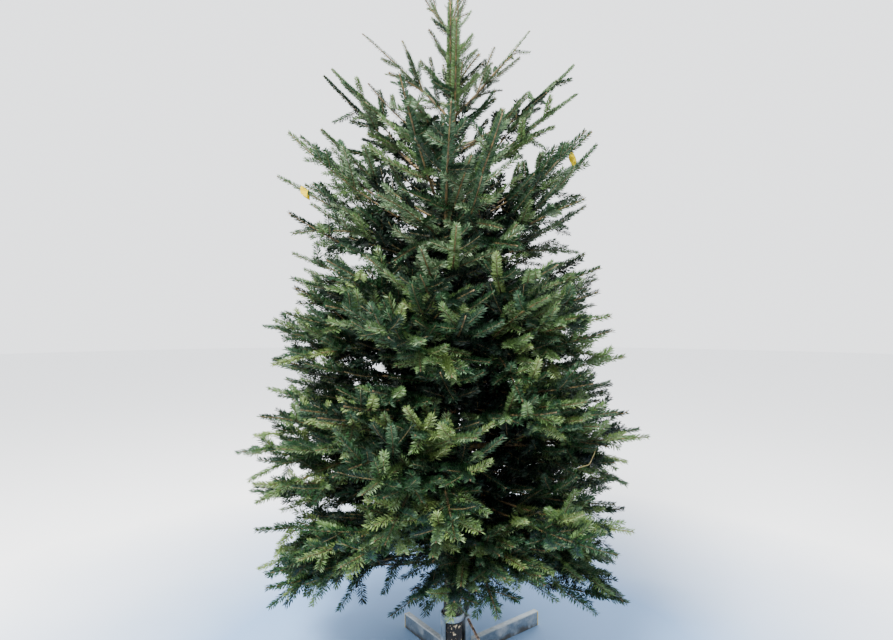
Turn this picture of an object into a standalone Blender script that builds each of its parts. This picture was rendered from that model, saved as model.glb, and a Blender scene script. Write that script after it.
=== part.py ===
"""A cut fir tree, three metres tall, held upright in a galvanised steel cross stand.

Metres, +Z up. The floor is Z = 0 and the origin is under the trunk, on the stand's flat underside.
Azimuths run from +X (0 degrees) towards +Y (90 degrees). The tree is a whole tapering trunk, tiers
of limbs round it and a leader on top. A limb is a bare bough that ends where it enters its mass of
foliage, or on the thin upper tiers a mass whose stem starts at the trunk. Each mass forks into a few
axes that carry toothed sprays, and it keeps to its own cell between the neighbouring tiers and limbs.
"""

import math
import random
from dataclasses import dataclass

import bmesh
import bpy
from mathutils import Matrix, Vector

# Fits and sections
GAP = 0.0003
CELL_MARGIN = 0.006
TRUNK_CLEARANCE = 0.02
TRUNK_SIDES = 10
BOUGH_SIDES = 6
STEM_SIDES = 4
TWIG_SIDES = 3
WELD = 0.000002
DISTANCE_STEPS = 6
SMOOTH_ANGLE = 40.0
BOUGH_SMOOTH_ANGLE = 62.0
SCRAP_SHARE = 0.04
SEED = 41

# Trunk: radius at named heights, the lean of its centre line and the swelling at each whorl
FOOT_HEIGHT = 0.0703
TRUNK_TOP = 2.82
FOOT_RADIUS = 0.044
BUTT_HEIGHT = 0.36
BUTT_RADIUS = 0.0375
TOP_RADIUS = 0.0068
TRUNK_LEAN = -0.014
TRUNK_BOW = 0.007
BOW_LENGTH = 1.9
TRUNK_RING_STEP = 0.24
WHORL_SWELLING = 1.07
SWELLING_REACH = 0.03

# Leader: the last shoot, above the trunk
LEADER_LENGTH = 0.235
LEADER_LEAN = 0.004
LEADER_TIP_RADIUS = 0.0032
LEADER_FANS = 4
LEADER_LOBE = 0.075
LEADER_SIDE_LOBE = 0.064
LEADER_FIRST_FAN = 0.2
LEADER_FACE = 20.0
LEADER_TURN = 65.0
LEADER_SPREAD = 30.0

# Sprays grow in fans: flat, toothed lobes round one node. A lobe's teeth are in shares of its length.
MIDDLE_TEETH = ((0.36, 0.165), (0.47, 0.085), (0.74, 0.125))
SIDE_TEETH = ((0.46, 0.175), (0.56, 0.110))
LOBE_SPREAD = (45.0, 55.0)
SIDE_LOBE = (0.9, 1.0)
END_SIDE_LOBE = 0.82
SIDE_DROOP = (-0.22, 0.06)
END_DROOP = -0.04
LOBE_SIZES = (1.0, 0.75, 0.55)
LOBE_ROOT_SHARE = 0.25
LOBE_CLEARANCE = 0.022
HUB_RADIUS = 0.014
HUB_HALF_THICKNESS = 0.0085
FAN_OVERLAP = 0.002
AXIS_TIP_RADIUS = 0.0034
END_ROLL = (10.0, 38.0)
SIDE_ROLL = (58.0, 95.0)
HEADING_STEP = 0.01
LAST_FAN = 0.68
FAN_STEP = 0.26
CUT_BACK = 1.2

# Stand: box-section cross, upright, collar, clamp screw and brace
STAND_TURN = 37.0
BAR_HEIGHT = 0.070
BAR_WIDTH = 0.030
BAR_EDGE = 0.003
BAR_WALL = 0.002
LONG_ARM = 0.515
SHORT_ARM = 0.357
CAP_THICKNESS = 0.005
CAP_STEP = 0.001
CAP_EDGE = 0.0015
UPRIGHT_WIDTH = 0.070
UPRIGHT_TOP = 0.195
UPRIGHT_START = 0.0462
COLLAR_INNER = 0.0452
COLLAR_WALL = 0.006
COLLAR_HEIGHT = 0.027
COLLAR_SIDES = 18
STRAP_WIDTH = 0.025
STRAP_THICKNESS = 0.008
STRAP_OFFSET = 0.002
STRAP_STEP = 0.004
KNOB_RADIUS = 0.0138
KNOB_SIDES = 12
KNOB_EASE = 0.004
KNOB_HEIGHT = 0.030
KNOB_NECK_RADIUS = 0.0055
KNOB_NECK_HEIGHT = 0.020
KNOB_OFFSET = (0.0675, -0.014)
BRACE_RADIUS = 0.0065
BRACE_FOOT = 0.305
BRACE_DROP = 0.012
BRACE_SIDES = 12


@dataclass(frozen=True)
class Tier:
    """A whorl of limbs: sizes in metres, angles in degrees. Skews change a size towards +X and +Y."""

    name: str
    height: float
    count: int
    first_azimuth: float
    reach: float
    reach_skew: tuple
    tip_height: float
    tip_skew: tuple
    rise: float
    bare_share: float
    root_radius: float
    roof: tuple
    forks: tuple
    spray: float
    fans: tuple


# A fork: where it starts on the main axis, its turn as a share of the sector's half-width, its reach
# as a share of the limb's, and its lift above the main axis in metres.
SLIM_FORKS = ((0.28, 0.45, 0.72, 0.035), (0.45, -0.5, 0.78, -0.03))
CROWN_FORKS = ((0.22, 0.50, 0.76, -0.13), (0.30, -0.52, 0.80, -0.06), (0.30, 0.1, 0.56, 0.12))
UPPER_FORKS = ((0.10, 0.50, 0.86, -0.30), (0.20, -0.54, 0.82, -0.13), (0.10, 0.12, 0.50, 0.14))
HIGH_FORKS = ((0.04, 0.45, 1.00, -0.46), (0.10, -0.58, 0.90, -0.22), (0.06, -0.16, 0.50, 0.12))
FULL_FORKS = ((0.04, 0.58, 0.90, -0.15), (0.10, -0.58, 0.88, 0.08), (0.05, -0.12, 0.50, 0.18))
LOW_FORKS = ((0.04, 0.62, 0.90, 0.06), (0.10, -0.62, 0.94, -0.03), (0.05, 0.12, 0.50, 0.16))

# The roof of a tier is the cell boundary above it: its height at the trunk, at mid-reach and at 1 m.
TIERS = (
    Tier("low", 0.58, 4, 188.0, 0.80, (-0.03, 0.12), 0.42, (-0.02, -0.11), 4.0, 0.16, 0.0115,
         (0.76, 0.73, 0.70), LOW_FORKS, 0.26, (3, 1)),
    Tier("wide", 0.95, 5, 184.0, 0.885, (-0.025, 0.02), 1.00, (0.06, 0.0), 6.0, 0.16, 0.0115,
         (1.15, 1.17, 1.22), FULL_FORKS, 0.26, (3, 1)),
    Tier("middle", 1.34, 5, 176.0, 0.825, (-0.03, 0.02), 1.49, (0.02, 0.0), 14.0, 0.16, 0.0105,
         (1.52, 1.66, 1.74), FULL_FORKS, 0.25, (3, 1)),
    Tier("high", 1.689, 4, 181.0, 0.70, (-0.038, 0.0), 2.21, (0.073, 0.0), 33.0, 0.16, 0.0095,
         (1.90, 2.22, 2.62), HIGH_FORKS, 0.23, (3, 1)),
    Tier("upper", 2.057, 4, 178.0, 0.555, (0.0, 0.0), 2.54, (-0.042, 0.0), 40.0, 0.0, 0.0078,
         (2.24, 2.60, 3.10), UPPER_FORKS, 0.18, (2, 1)),
    Tier("crown", 2.390, 4, 183.0, 0.372, (-0.008, 0.0), 2.768, (0.028, 0.0), 44.0, 0.0, 0.0062,
         (2.60, 3.02, 3.60), CROWN_FORKS, 0.13, (2, 1)),
    Tier("top", 2.768, 3, 186.0, 0.150, (0.0, 0.0), 2.965, (0.0, 0.0), 50.0, 0.0, 0.0042,
         (3.40, 3.50, 3.60), SLIM_FORKS, 0.085, (1, 0)),
)
FLOOR_ROOF = (0.42, 0.40, 0.24)
FRONT_FLOOR_LIFT = (0.0, 0.06, 0.46)
AZIMUTH_JITTER = 5.0
REACH_JITTER = 0.03
HEIGHT_JITTER = 0.015
SWAY = 0.02
LIMB_TAPER = 0.9
BOUGH_STEPS = 2
STEM_STEPS = 4
FORK_BOW = 0.03
FORK_ROOT_SHARE = 0.75
FORK_SPRAY = 0.92


@dataclass(frozen=True)
class Limb:
    """One limb of a tier, with its own azimuth, reach, tip height, sector and sideways sway."""

    name: str
    tier: Tier
    floor: tuple
    azimuth: float
    half_sector: float
    reach: float
    tip_height: float
    sway: float


# ---------------------------------------------------------------- scene, materials and meshes


def clear_scene():
    for obj in list(bpy.data.objects):
        bpy.data.objects.remove(obj, do_unlink=True)


def make_material(name, colour, roughness, metallic=0.0):
    material = bpy.data.materials.new(name)
    material.use_nodes = True
    shader = material.node_tree.nodes["Principled BSDF"]
    shader.inputs["Base Color"].default_value = (*colour, 1.0)
    shader.inputs["Roughness"].default_value = roughness
    shader.inputs["Metallic"].default_value = metallic
    material.diffuse_color = (*colour, 1.0)
    return material


def make_object(name, points, faces, material, smooth_angle=None, triangles=False):
    """An object of the main collection, from points and faces in world metres."""
    mesh = bpy.data.meshes.new(name)
    mesh.from_pydata([tuple(point) for point in points], [], faces)
    mesh.materials.append(material)
    obj = bpy.data.objects.new(name, mesh)
    bpy.context.scene.collection.objects.link(obj)
    point_faces_outward(mesh, triangles)
    if smooth_angle is not None:
        mesh.shade_smooth()
        mesh.set_sharp_from_angle(angle=math.radians(smooth_angle))
    return obj


def point_faces_outward(mesh, triangles):
    """Turns every face outward, and cuts the faces into triangles where asked."""
    shape = bmesh.new()
    shape.from_mesh(mesh)
    bmesh.ops.recalc_face_normals(shape, faces=shape.faces)
    if shape.calc_volume(signed=True) < 0:
        bmesh.ops.reverse_faces(shape, faces=shape.faces)
    if triangles:
        bmesh.ops.triangulate(shape, faces=shape.faces, quad_method="FIXED")
    shape.to_mesh(mesh)
    shape.free()


def join_rings(rings):
    """Points and faces of a closed body through rings of equal count, capped at both ends."""
    sides = len(rings[0])
    points = [point for ring in rings for point in ring]
    faces = []
    for ring in range(len(rings) - 1):
        for side in range(sides):
            following = (side + 1) % sides
            low, high = ring * sides, (ring + 1) * sides
            faces.append((low + side, low + following, high + following, high + side))
    faces.append(tuple(reversed(range(sides))))
    faces.append(tuple(range(len(points) - sides, len(points))))
    return points, faces


def join_loop(rings):
    """Points and faces of a closed body through rings of equal count, the last joined to the first."""
    sides = len(rings[0])
    points = [point for ring in rings for point in ring]
    faces = []
    for ring in range(len(rings)):
        for side in range(sides):
            following = (side + 1) % sides
            low, high = ring * sides, (ring + 1) % len(rings) * sides
            faces.append((low + side, low + following, high + following, high + side))
    return points, faces


def cross_ring(centre, direction, radius, sides):
    """A ring of points square to a direction, with its first point as high as it goes."""
    up = Vector((0, 0, 1)) if abs(direction.z) < 0.95 else Vector((1, 0, 0))
    across = direction.cross(up).normalized()
    over = across.cross(direction).normalized()
    ring = []
    for side in range(sides):
        angle = 2 * math.pi * side / sides
        ring.append(centre + radius * (math.cos(angle) * over + math.sin(angle) * across))
    return ring


def tube(centres, radii, sides):
    """A tapering tube along a line of centres, each ring square to the line."""
    rings = []
    for index, centre in enumerate(centres):
        before = centres[max(index - 1, 0)]
        after = centres[min(index + 1, len(centres) - 1)]
        rings.append(cross_ring(centre, (after - before).normalized(), radii[index], sides))
    return rings


# ---------------------------------------------------------------- trunk


def trunk_centre(height):
    """The leaning, slightly bowed centre line of the trunk."""
    share = (height - FOOT_HEIGHT) / (TRUNK_TOP - FOOT_HEIGHT)
    bow = TRUNK_BOW * math.sin(2 * math.pi * (height - FOOT_HEIGHT) / BOW_LENGTH)
    return Vector((TRUNK_LEAN * share ** 0.5 + bow, 0.4 * bow, height))


def trunk_radius(height):
    """The trunk's taper, thicker at the butt, with a swelling at each whorl."""
    if height < BUTT_HEIGHT:
        share = (height - FOOT_HEIGHT) / (BUTT_HEIGHT - FOOT_HEIGHT)
        radius = FOOT_RADIUS + (BUTT_RADIUS - FOOT_RADIUS) * share
    else:
        share = (height - BUTT_HEIGHT) / (TRUNK_TOP - BUTT_HEIGHT)
        radius = BUTT_RADIUS + (TOP_RADIUS - BUTT_RADIUS) * share
    nearest = min(abs(height - tier.height) for tier in TIERS)
    return radius * (1 + (WHORL_SWELLING - 1) * max(0.0, 1 - nearest / SWELLING_REACH))


def trunk_heights():
    """Ring heights: even steps up the stem, and a ring at each whorl."""
    heights = {FOOT_HEIGHT, BUTT_HEIGHT, TRUNK_TOP}
    for tier in TIERS:
        heights.add(tier.height)
    height = FOOT_HEIGHT + TRUNK_RING_STEP
    while height < TRUNK_TOP - TRUNK_RING_STEP / 2:
        if min(abs(height - other) for other in heights) > TRUNK_RING_STEP / 3:
            heights.add(height)
        height += TRUNK_RING_STEP
    return sorted(heights)


def trunk_reach(height, azimuth):
    """How far the faceted trunk reaches from its centre line towards an azimuth."""
    step = 360.0 / TRUNK_SIDES
    off_corner = abs((azimuth + step / 2) % step - step / 2)
    return trunk_radius(height) * math.cos(math.radians(off_corner))


def make_trunk(bark):
    rings = []
    for height in trunk_heights():
        centre, radius = trunk_centre(height), trunk_radius(height)
        ring = []
        for side in range(TRUNK_SIDES):
            angle = 2 * math.pi * side / TRUNK_SIDES
            ring.append(centre + radius * Vector((math.cos(angle), math.sin(angle), 0)))
        rings.append(ring)
    return make_object("trunk", *join_rings(rings), bark, SMOOTH_ANGLE)


# ---------------------------------------------------------------- limbs


def lifted_floor(back):
    """The lowest tier's floor, which rises towards the front (back = -1)."""
    share = max(0.0, -back)
    return tuple(height + share * lift for height, lift in zip(FLOOR_ROOF, FRONT_FLOOR_LIFT))


def list_limbs():
    """Every limb of every tier, with its seeded differences."""
    limbs = []
    floor = FLOOR_ROOF
    for tier in TIERS:
        for number in range(tier.count):
            draw = random.Random(f"{SEED} {tier.name} {number}")
            azimuth = tier.first_azimuth + 360.0 * number / tier.count
            azimuth += draw.uniform(-AZIMUTH_JITTER, AZIMUTH_JITTER)
            side, back = math.cos(math.radians(azimuth)), math.sin(math.radians(azimuth))
            reach = tier.reach + tier.reach_skew[0] * side + tier.reach_skew[1] * back
            reach *= 1 + draw.uniform(-REACH_JITTER, REACH_JITTER)
            tip = tier.tip_height + tier.tip_skew[0] * side + tier.tip_skew[1] * back
            tip += draw.uniform(-HEIGHT_JITTER, HEIGHT_JITTER)
            sway = draw.uniform(-SWAY, SWAY)
            half_sector = 180.0 / tier.count - AZIMUTH_JITTER
            name = f"{tier.name}_{number + 1}"
            under = lifted_floor(back) if floor is FLOOR_ROOF else floor
            limbs.append(Limb(name, tier, under, azimuth, half_sector, reach, tip, sway))
        floor = tier.roof
    return limbs


def outward(azimuth):
    return Vector((math.cos(math.radians(azimuth)), math.sin(math.radians(azimuth)), 0))


def limb_point(limb, share):
    """A point of the limb's main axis, from the trunk's surface (0) to the furthest tip (1)."""
    tier = limb.tier
    start = trunk_reach(tier.height, limb.azimuth) + GAP
    rise = math.tan(math.radians(tier.rise)) * limb.reach
    bend = limb.tip_height - tier.height - rise
    distance = start + (limb.reach - start) * share
    sideways = limb.sway * math.sin(math.pi * share)
    ahead, across = outward(limb.azimuth), outward(limb.azimuth + 90)
    height = tier.height + rise * share + bend * share * share
    base = trunk_centre(tier.height)
    return Vector((base.x, base.y, 0)) + distance * ahead + sideways * across + Vector((0, 0, height))


def limb_heading(limb, share):
    """The way the limb's main axis runs at a share of its length."""
    return (limb_point(limb, share + HEADING_STEP) - limb_point(limb, share - HEADING_STEP)).normalized()


def limb_radius(limb, share):
    return AXIS_TIP_RADIUS + (limb.tier.root_radius - AXIS_TIP_RADIUS) * (1 - share) ** LIMB_TAPER


def cut_to_trunk(ring, centre, direction, azimuth):
    """Slides a ring's points along the limb until all lie in the upright plane through its centre."""
    ahead = outward(azimuth)
    return [point - direction * ((point - centre).dot(ahead) / direction.dot(ahead)) for point in ring]


def make_bough(limb, bark):
    """The bare part of a limb: one tapering tube from the trunk to its mass."""
    shares = [limb.tier.bare_share * step / BOUGH_STEPS for step in range(BOUGH_STEPS + 1)]
    centres = [limb_point(limb, share) for share in shares]
    radii = [limb_radius(limb, share) for share in shares]
    rings = tube(centres, radii, BOUGH_SIDES)
    rings[0] = cut_to_trunk(rings[0], centres[0], (centres[1] - centres[0]).normalized(), limb.azimuth)
    heading = limb_heading(limb, limb.tier.bare_share)
    rings[-1] = cross_ring(centres[-1], heading, radii[-1], BOUGH_SIDES)
    return make_object(f"bough_{limb.name}", *join_rings(rings), bark, BOUGH_SMOOTH_ANGLE)


# ---------------------------------------------------------------- the cell that a mass keeps to


def roof_height(roof, distance):
    """Height of a cell boundary: the parabola through its heights at 0, 0.5 and 1 m from the trunk."""
    root, middle, far = roof
    bend = 2 * (far + root) - 4 * middle
    slope = 4 * middle - 3 * root - far
    return root + slope * distance + bend * distance * distance


def inside_cell(limb, point):
    """Whether a point keeps to the limb's own sector and to the slab between two roofs."""
    base = trunk_centre(limb.tier.height)
    offset = Vector((point.x - base.x, point.y - base.y, 0))
    distance = offset.length
    turn = math.atan2(offset.dot(outward(limb.azimuth + 90)), offset.dot(outward(limb.azimuth)))
    spare = math.radians(limb.half_sector) - abs(turn)
    if spare <= 0 or distance * math.sin(min(spare, math.pi / 2)) < CELL_MARGIN:
        return False
    low = roof_height(limb.floor, distance) + CELL_MARGIN
    high = roof_height(limb.tier.roof, distance) - CELL_MARGIN
    clear_of_trunk = trunk_radius(max(point.z, FOOT_HEIGHT)) + TRUNK_CLEARANCE
    return low < point.z < high and distance > clear_of_trunk


# ---------------------------------------------------------------- foliage


def lobe_outline(angle, length, droop):
    """Corners of one toothed lobe, in the fan's plane: forward, to the left and up."""
    turn = math.radians(angle)
    corners = []
    teeth = MIDDLE_TEETH if angle == 0 else SIDE_TEETH
    right = [(along, -across) for along, across in teeth]
    left = [(along, across) for along, across in reversed(teeth)]
    for along, across in right + [(1.0, 0.0)] + left:
        forward = length * (along * math.cos(turn) - across * math.sin(turn))
        aside = length * (along * math.sin(turn) + across * math.cos(turn))
        corners.append((forward, aside, droop * length * along * along))
    return corners


def fan_body(node, forward, over, lobes):
    """A flat star of lobes round a node: an outline joined to a raised centre above and below."""
    aside = over.cross(forward).normalized()
    corners = []
    lobes = sorted(lobes)
    for number, (angle, length, droop) in enumerate(lobes):
        corners += lobe_outline(angle, length, droop)
        following = lobes[(number + 1) % len(lobes)][0] + (360 if number == len(lobes) - 1 else 0)
        middle = math.radians((angle + following) / 2)
        corners.append((HUB_RADIUS * math.cos(middle), HUB_RADIUS * math.sin(middle), 0.0))
    points = [node + ahead * forward + left * aside + up * over for ahead, left, up in corners]
    count = len(points)
    points += [node + HUB_HALF_THICKNESS * over, node - HUB_HALF_THICKNESS * over]
    faces = []
    for corner in range(count):
        following = (corner + 1) % count
        faces.append((corner, following, count))
        faces.append((following, corner, count + 1))
    return points, faces


def segment_distance(first, second):
    """Shortest distance between two short segments, by even samples along each."""
    shares = [step / DISTANCE_STEPS for step in range(DISTANCE_STEPS + 1)]
    places = [first[0].lerp(first[1], share) for share in shares]
    others = [second[0].lerp(second[1], share) for share in shares]
    return min((place - other).length for place in places for other in others)


class Mass:
    """One mass of foliage: bodies that are fused at the end, all within the limb's cell."""

    def __init__(self, limb):
        self.limb = limb
        self.draw = random.Random(f"{SEED} foliage {limb.name}")
        self.bodies = []
        self.lines = []

    def add_axis(self, centres, radii, sides):
        self.bodies.append(join_rings(tube(centres, radii, sides)))

    def add_stem(self, centres, radii):
        """The main axis: its root face is flat to the bough's tip, or to the trunk."""
        rings = tube(centres, radii, STEM_SIDES)
        if self.limb.tier.bare_share > 0:
            heading = limb_heading(self.limb, self.limb.tier.bare_share)
            rings[0] = cross_ring(centres[0], heading, radii[0], STEM_SIDES)
        else:
            heading = (centres[1] - centres[0]).normalized()
            rings[0] = cut_to_trunk(rings[0], centres[0], heading, self.limb.azimuth)
        self.bodies.append(join_rings(rings))

    def add_fan(self, node, forward, over, lobes):
        """Adds a fan, with each lobe shortened or left out where it would leave the cell."""
        kept = []
        for angle, length, droop in lobes:
            for size in (share * length for share in LOBE_SIZES):
                points = fan_body(node, forward, over, [(angle, size, droop)])[0]
                turn = math.radians(angle)
                heading = math.cos(turn) * forward + math.sin(turn) * over.cross(forward)
                line = (node + LOBE_ROOT_SHARE * size * heading, node + size * heading)
                fits = all(inside_cell(self.limb, point) for point in points)
                clear = all(segment_distance(line, other) > LOBE_CLEARANCE for other in self.lines)
                if fits and clear:
                    kept.append((angle, size, droop))
                    self.lines.append(line)
                    break
        if kept:
            self.bodies.append(fan_body(node, forward, over, kept))

    def dress_axis(self, centres, spray, fans):
        """A three-lobed fan at the end of an axis, and two-lobed fans down its length."""
        for fan in range(fans + 1):
            share = 1.0 if fan == 0 else LAST_FAN - FAN_STEP * (fan - 1)
            node, forward = point_on(centres, share)
            across = forward.cross(Vector((0, 0, 1))).normalized()
            roll_range = END_ROLL if fan == 0 else SIDE_ROLL
            roll = math.radians(self.draw.uniform(*roll_range) * self.draw.choice((-1, 1)))
            over = math.cos(roll) * across.cross(forward).normalized() + math.sin(roll) * across
            lobes = [(0.0, spray, END_DROOP)] if fan == 0 else []
            for side in (1, -1):
                angle = side * self.draw.uniform(*LOBE_SPREAD)
                size = spray * self.draw.uniform(*SIDE_LOBE) * (END_SIDE_LOBE if fan == 0 else 1.0)
                lobes.append((angle, size, self.draw.uniform(*SIDE_DROOP)))
            if fan == 0:
                node = node - FAN_OVERLAP * forward
            self.add_fan(node, forward, over, lobes)

    def fork_centres(self, fork):
        """The bowed line of a side axis, from the main axis to its own tip in the cell."""
        start, turn, reach_share, lift = fork
        limb = self.limb
        bare = limb.tier.bare_share
        root = limb_point(limb, bare + (1 - bare) * start)
        level = limb_point(limb, reach_share)
        azimuth = limb.azimuth + turn * limb.half_sector
        base = trunk_centre(limb.tier.height)
        tip = Vector((base.x, base.y, 0)) + limb.reach * reach_share * outward(azimuth)
        tip.z = level.z + lift
        middle = root.lerp(tip, 0.5) + Vector((0, 0, FORK_BOW * limb.reach))
        return [root, middle, tip]


def stop_short(centres, spray):
    """The line of an axis cut back from its tip, so that its last fan reaches the tip."""
    tip = centres[-1]
    kept = [centre for centre in centres[:-1] if (centre - tip).length > CUT_BACK * spray]
    if not kept:
        return []
    heading = (tip - kept[-1]).normalized()
    return kept + [tip - heading * (spray - FAN_OVERLAP)]


def taper(first, last, count):
    """Radii that go evenly from the first to the last."""
    return [first + (last - first) * step / (count - 1) for step in range(count)]


def point_on(centres, share):
    """A point and the heading at a share of the way along a line of centres."""
    place = share * (len(centres) - 1)
    index = min(int(place), len(centres) - 2)
    heading = (centres[index + 1] - centres[index]).normalized()
    return centres[index].lerp(centres[index + 1], place - index), heading


def unite(name, bodies, material, solver):
    """An object from overlapping bodies, by one Boolean union on a collection, then cleaned."""
    target = make_object(name, *bodies[0], material, triangles=True)
    helpers = bpy.data.collections.new(f"{name}_parts")
    bpy.context.scene.collection.children.link(helpers)
    for number, body in enumerate(bodies[1:]):
        helper = make_object(f"{name}_part_{number}", *body, material, triangles=True)
        bpy.context.scene.collection.objects.unlink(helper)
        helpers.objects.link(helper)
    union = target.modifiers.new("union", "BOOLEAN")
    union.operation = "UNION"
    union.operand_type = "COLLECTION"
    union.collection = helpers
    union.solver = solver
    graph = bpy.context.evaluated_depsgraph_get()
    mesh = bpy.data.meshes.new_from_object(target.evaluated_get(graph))
    target.modifiers.clear()
    target.data = mesh
    for helper in list(helpers.objects):
        bpy.data.objects.remove(helper, do_unlink=True)
    bpy.data.collections.remove(helpers)
    return target


def connected_faces(shape):
    """Groups of faces that join across edges with exactly two faces, smallest group first."""
    unseen = set(shape.faces)
    groups = []
    while unseen:
        start = unseen.pop()
        stack, group = [start], [start]
        while stack:
            for edge in stack.pop().edges:
                if len(edge.link_faces) != 2:
                    continue
                for face in edge.link_faces:
                    if face in unseen:
                        unseen.discard(face)
                        stack.append(face)
                        group.append(face)
        groups.append(group)
    return sorted(groups, key=len)


def drop_doubled_faces(shape):
    """Removes each pair of faces that lie back to back on the same three corners."""
    shape.verts.index_update()
    first, doubled = {}, []
    for face in shape.faces:
        corners = frozenset(vertex.index for vertex in face.verts)
        if corners in first:
            doubled += [face, first.pop(corners)]
        else:
            first[corners] = face
    bmesh.ops.delete(shape, geom=doubled, context="FACES")


def clean(mesh):
    """Drops slivers, scraps and sealed hollows, and says whether one sound closed body is left."""
    for method in ("EAR_CLIP", "BEAUTY"):
        shape = bmesh.new()
        shape.from_mesh(mesh)
        bmesh.ops.remove_doubles(shape, verts=shape.verts, dist=WELD)
        bmesh.ops.dissolve_degenerate(shape, edges=shape.edges, dist=WELD)
        bmesh.ops.triangulate(shape, faces=shape.faces, ngon_method=method)
        drop_doubled_faces(shape)
        groups = connected_faces(shape)
        scraps = [face for group in groups[:-1] for face in group]
        bmesh.ops.delete(shape, geom=scraps, context="FACES")
        sound = len(scraps) < SCRAP_SHARE * len(shape.faces)
        sound = sound and all(len(edge.link_faces) == 2 for edge in shape.edges)
        sound = sound and shape.calc_volume(signed=True) > 0
        if sound:
            shape.to_mesh(mesh)
        shape.free()
        if sound:
            return True
    return False


def fuse(name, bodies, material):
    """One closed object from overlapping bodies; where both solvers fail, the last body is left out."""
    while True:
        for solver in ("EXACT", "MANIFOLD"):
            target = unite(name, bodies, material, solver)
            if clean(target.data):
                return target
            bpy.data.objects.remove(target, do_unlink=True)
        bodies = bodies[:-1]


def stem_centres(limb):
    """The line of a mass's stem: the limb's main axis past its bare part, cut back by one spray."""
    bare = limb.tier.bare_share
    centres = [limb_point(limb, bare + (1 - bare) * step / STEM_STEPS) for step in range(STEM_STEPS + 1)]
    if bare > 0:
        centres[0] = centres[0] + GAP * limb_heading(limb, bare)
    return stop_short(centres, limb.tier.spray)


def add_fork(mass, fork, fans):
    """A side axis with its fans, where it stays inside the cell and is long enough for a spray."""
    limb, tier = mass.limb, mass.limb.tier
    line = mass.fork_centres(fork)
    inside = all(inside_cell(limb, point) for point in line[1:])
    line = stop_short(line, tier.spray)
    if not inside or not line:
        return
    root_share = tier.bare_share + (1 - tier.bare_share) * fork[0]
    root_radius = FORK_ROOT_SHARE * limb_radius(limb, root_share)
    mass.add_axis(line, taper(root_radius, AXIS_TIP_RADIUS, len(line)), TWIG_SIDES)
    mass.dress_axis(line, FORK_SPRAY * tier.spray, fans)


def make_mass(limb, material):
    """The foliage of one limb: its stem goes on from the bough's tip, or from the trunk."""
    mass = Mass(limb)
    tier = limb.tier
    centres = stem_centres(limb)
    mass.add_stem(centres, taper(limb_radius(limb, tier.bare_share), AXIS_TIP_RADIUS, len(centres)))
    mass.dress_axis(centres, tier.spray, tier.fans[0])
    *outer_forks, inner_fork = tier.forks
    for fork in outer_forks:
        add_fork(mass, fork, tier.fans[1])
    add_fork(mass, inner_fork, 0)
    return fuse(f"foliage_{limb.name}", mass.bodies, material)


def make_leader(material):
    """The leader: a thin upright shoot with short lobes that point up, set round it."""
    base = trunk_centre(TRUNK_TOP) + Vector((0, 0, GAP))
    tip = base + Vector((LEADER_LEAN, 0, LEADER_LENGTH - LEADER_LOBE))
    up = (tip - base).normalized()
    bodies = [join_rings(tube([base, tip], [TOP_RADIUS, LEADER_TIP_RADIUS], STEM_SIDES))]
    for number in range(LEADER_FANS):
        share = LEADER_FIRST_FAN + (1 - LEADER_FIRST_FAN) * number / (LEADER_FANS - 1)
        face = outward(LEADER_FACE + LEADER_TURN * number)
        lobes = [(side * LEADER_SPREAD, LEADER_SIDE_LOBE, 0.0) for side in (1, -1)]
        if number == LEADER_FANS - 1:
            lobes.append((0.0, LEADER_LOBE, 0.0))
        bodies.append(fan_body(base.lerp(tip, share), up, face, lobes))
    return fuse("foliage_leader", bodies, material)


# ---------------------------------------------------------------- stand


def stand_place(along, across, height=0.0):
    """A point given along the long bar, across it and up."""
    turn = Matrix.Rotation(math.radians(STAND_TURN), 3, "Z")
    return turn @ Vector((along, across, height))


def short_place(along, across, height=0.0):
    """A point given along the short arms, across them and up."""
    return stand_place(-across, along, height)


def make_box(name, low, high, material, edge):
    """A box with eased edges, given by two corners in the stand's own directions."""
    shape = bmesh.new()
    bmesh.ops.create_cube(shape, size=1.0)
    low, high = Vector(low), Vector(high)
    for vertex in shape.verts:
        share = vertex.co + Vector((0.5, 0.5, 0.5))
        vertex.co = Vector(low[i] + (high[i] - low[i]) * share[i] for i in range(3))
    mesh = bpy.data.meshes.new(name)
    shape.to_mesh(mesh)
    shape.free()
    mesh.materials.append(material)
    obj = bpy.data.objects.new(name, mesh)
    obj.rotation_euler.z = math.radians(STAND_TURN)
    bpy.context.scene.collection.objects.link(obj)
    bevel = obj.modifiers.new("eased_edges", "BEVEL")
    bevel.width = edge
    bevel.segments = 1
    return obj


def section_ring(start, width, low, high, edge, place):
    """Corners of a box section with eased edges, square to the bar, at one place along it."""
    half = width / 2
    corners = ((-half, low + edge), (-half + edge, low), (half - edge, low), (half, low + edge),
               (half, high - edge), (half - edge, high), (-half + edge, high), (-half, high - edge))
    return [place(start, across, height) for across, height in corners]


def make_bar(name, start, end, place, material):
    """An open-ended box section from start to end; place turns (along, across, height) into a point."""
    outer = [section_ring(at, BAR_WIDTH, 0, BAR_HEIGHT, BAR_EDGE, place) for at in (start, end)]
    width, top = BAR_WIDTH - 2 * BAR_WALL, BAR_HEIGHT - BAR_WALL
    inner = [section_ring(at, width, BAR_WALL, top, BAR_EDGE - BAR_WALL, place) for at in (end, start)]
    return make_object(name, *join_loop(outer + inner), material)


def make_cross(steel):
    """The long bar in one piece and two short arms that butt against it."""
    butt = BAR_WIDTH / 2 + GAP
    make_bar("cross_bar_long", -LONG_ARM, LONG_ARM, stand_place, steel)
    make_bar("cross_arm_back", butt, SHORT_ARM, short_place, steel)
    make_bar("cross_arm_front", -SHORT_ARM, -butt, short_place, steel)


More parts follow.
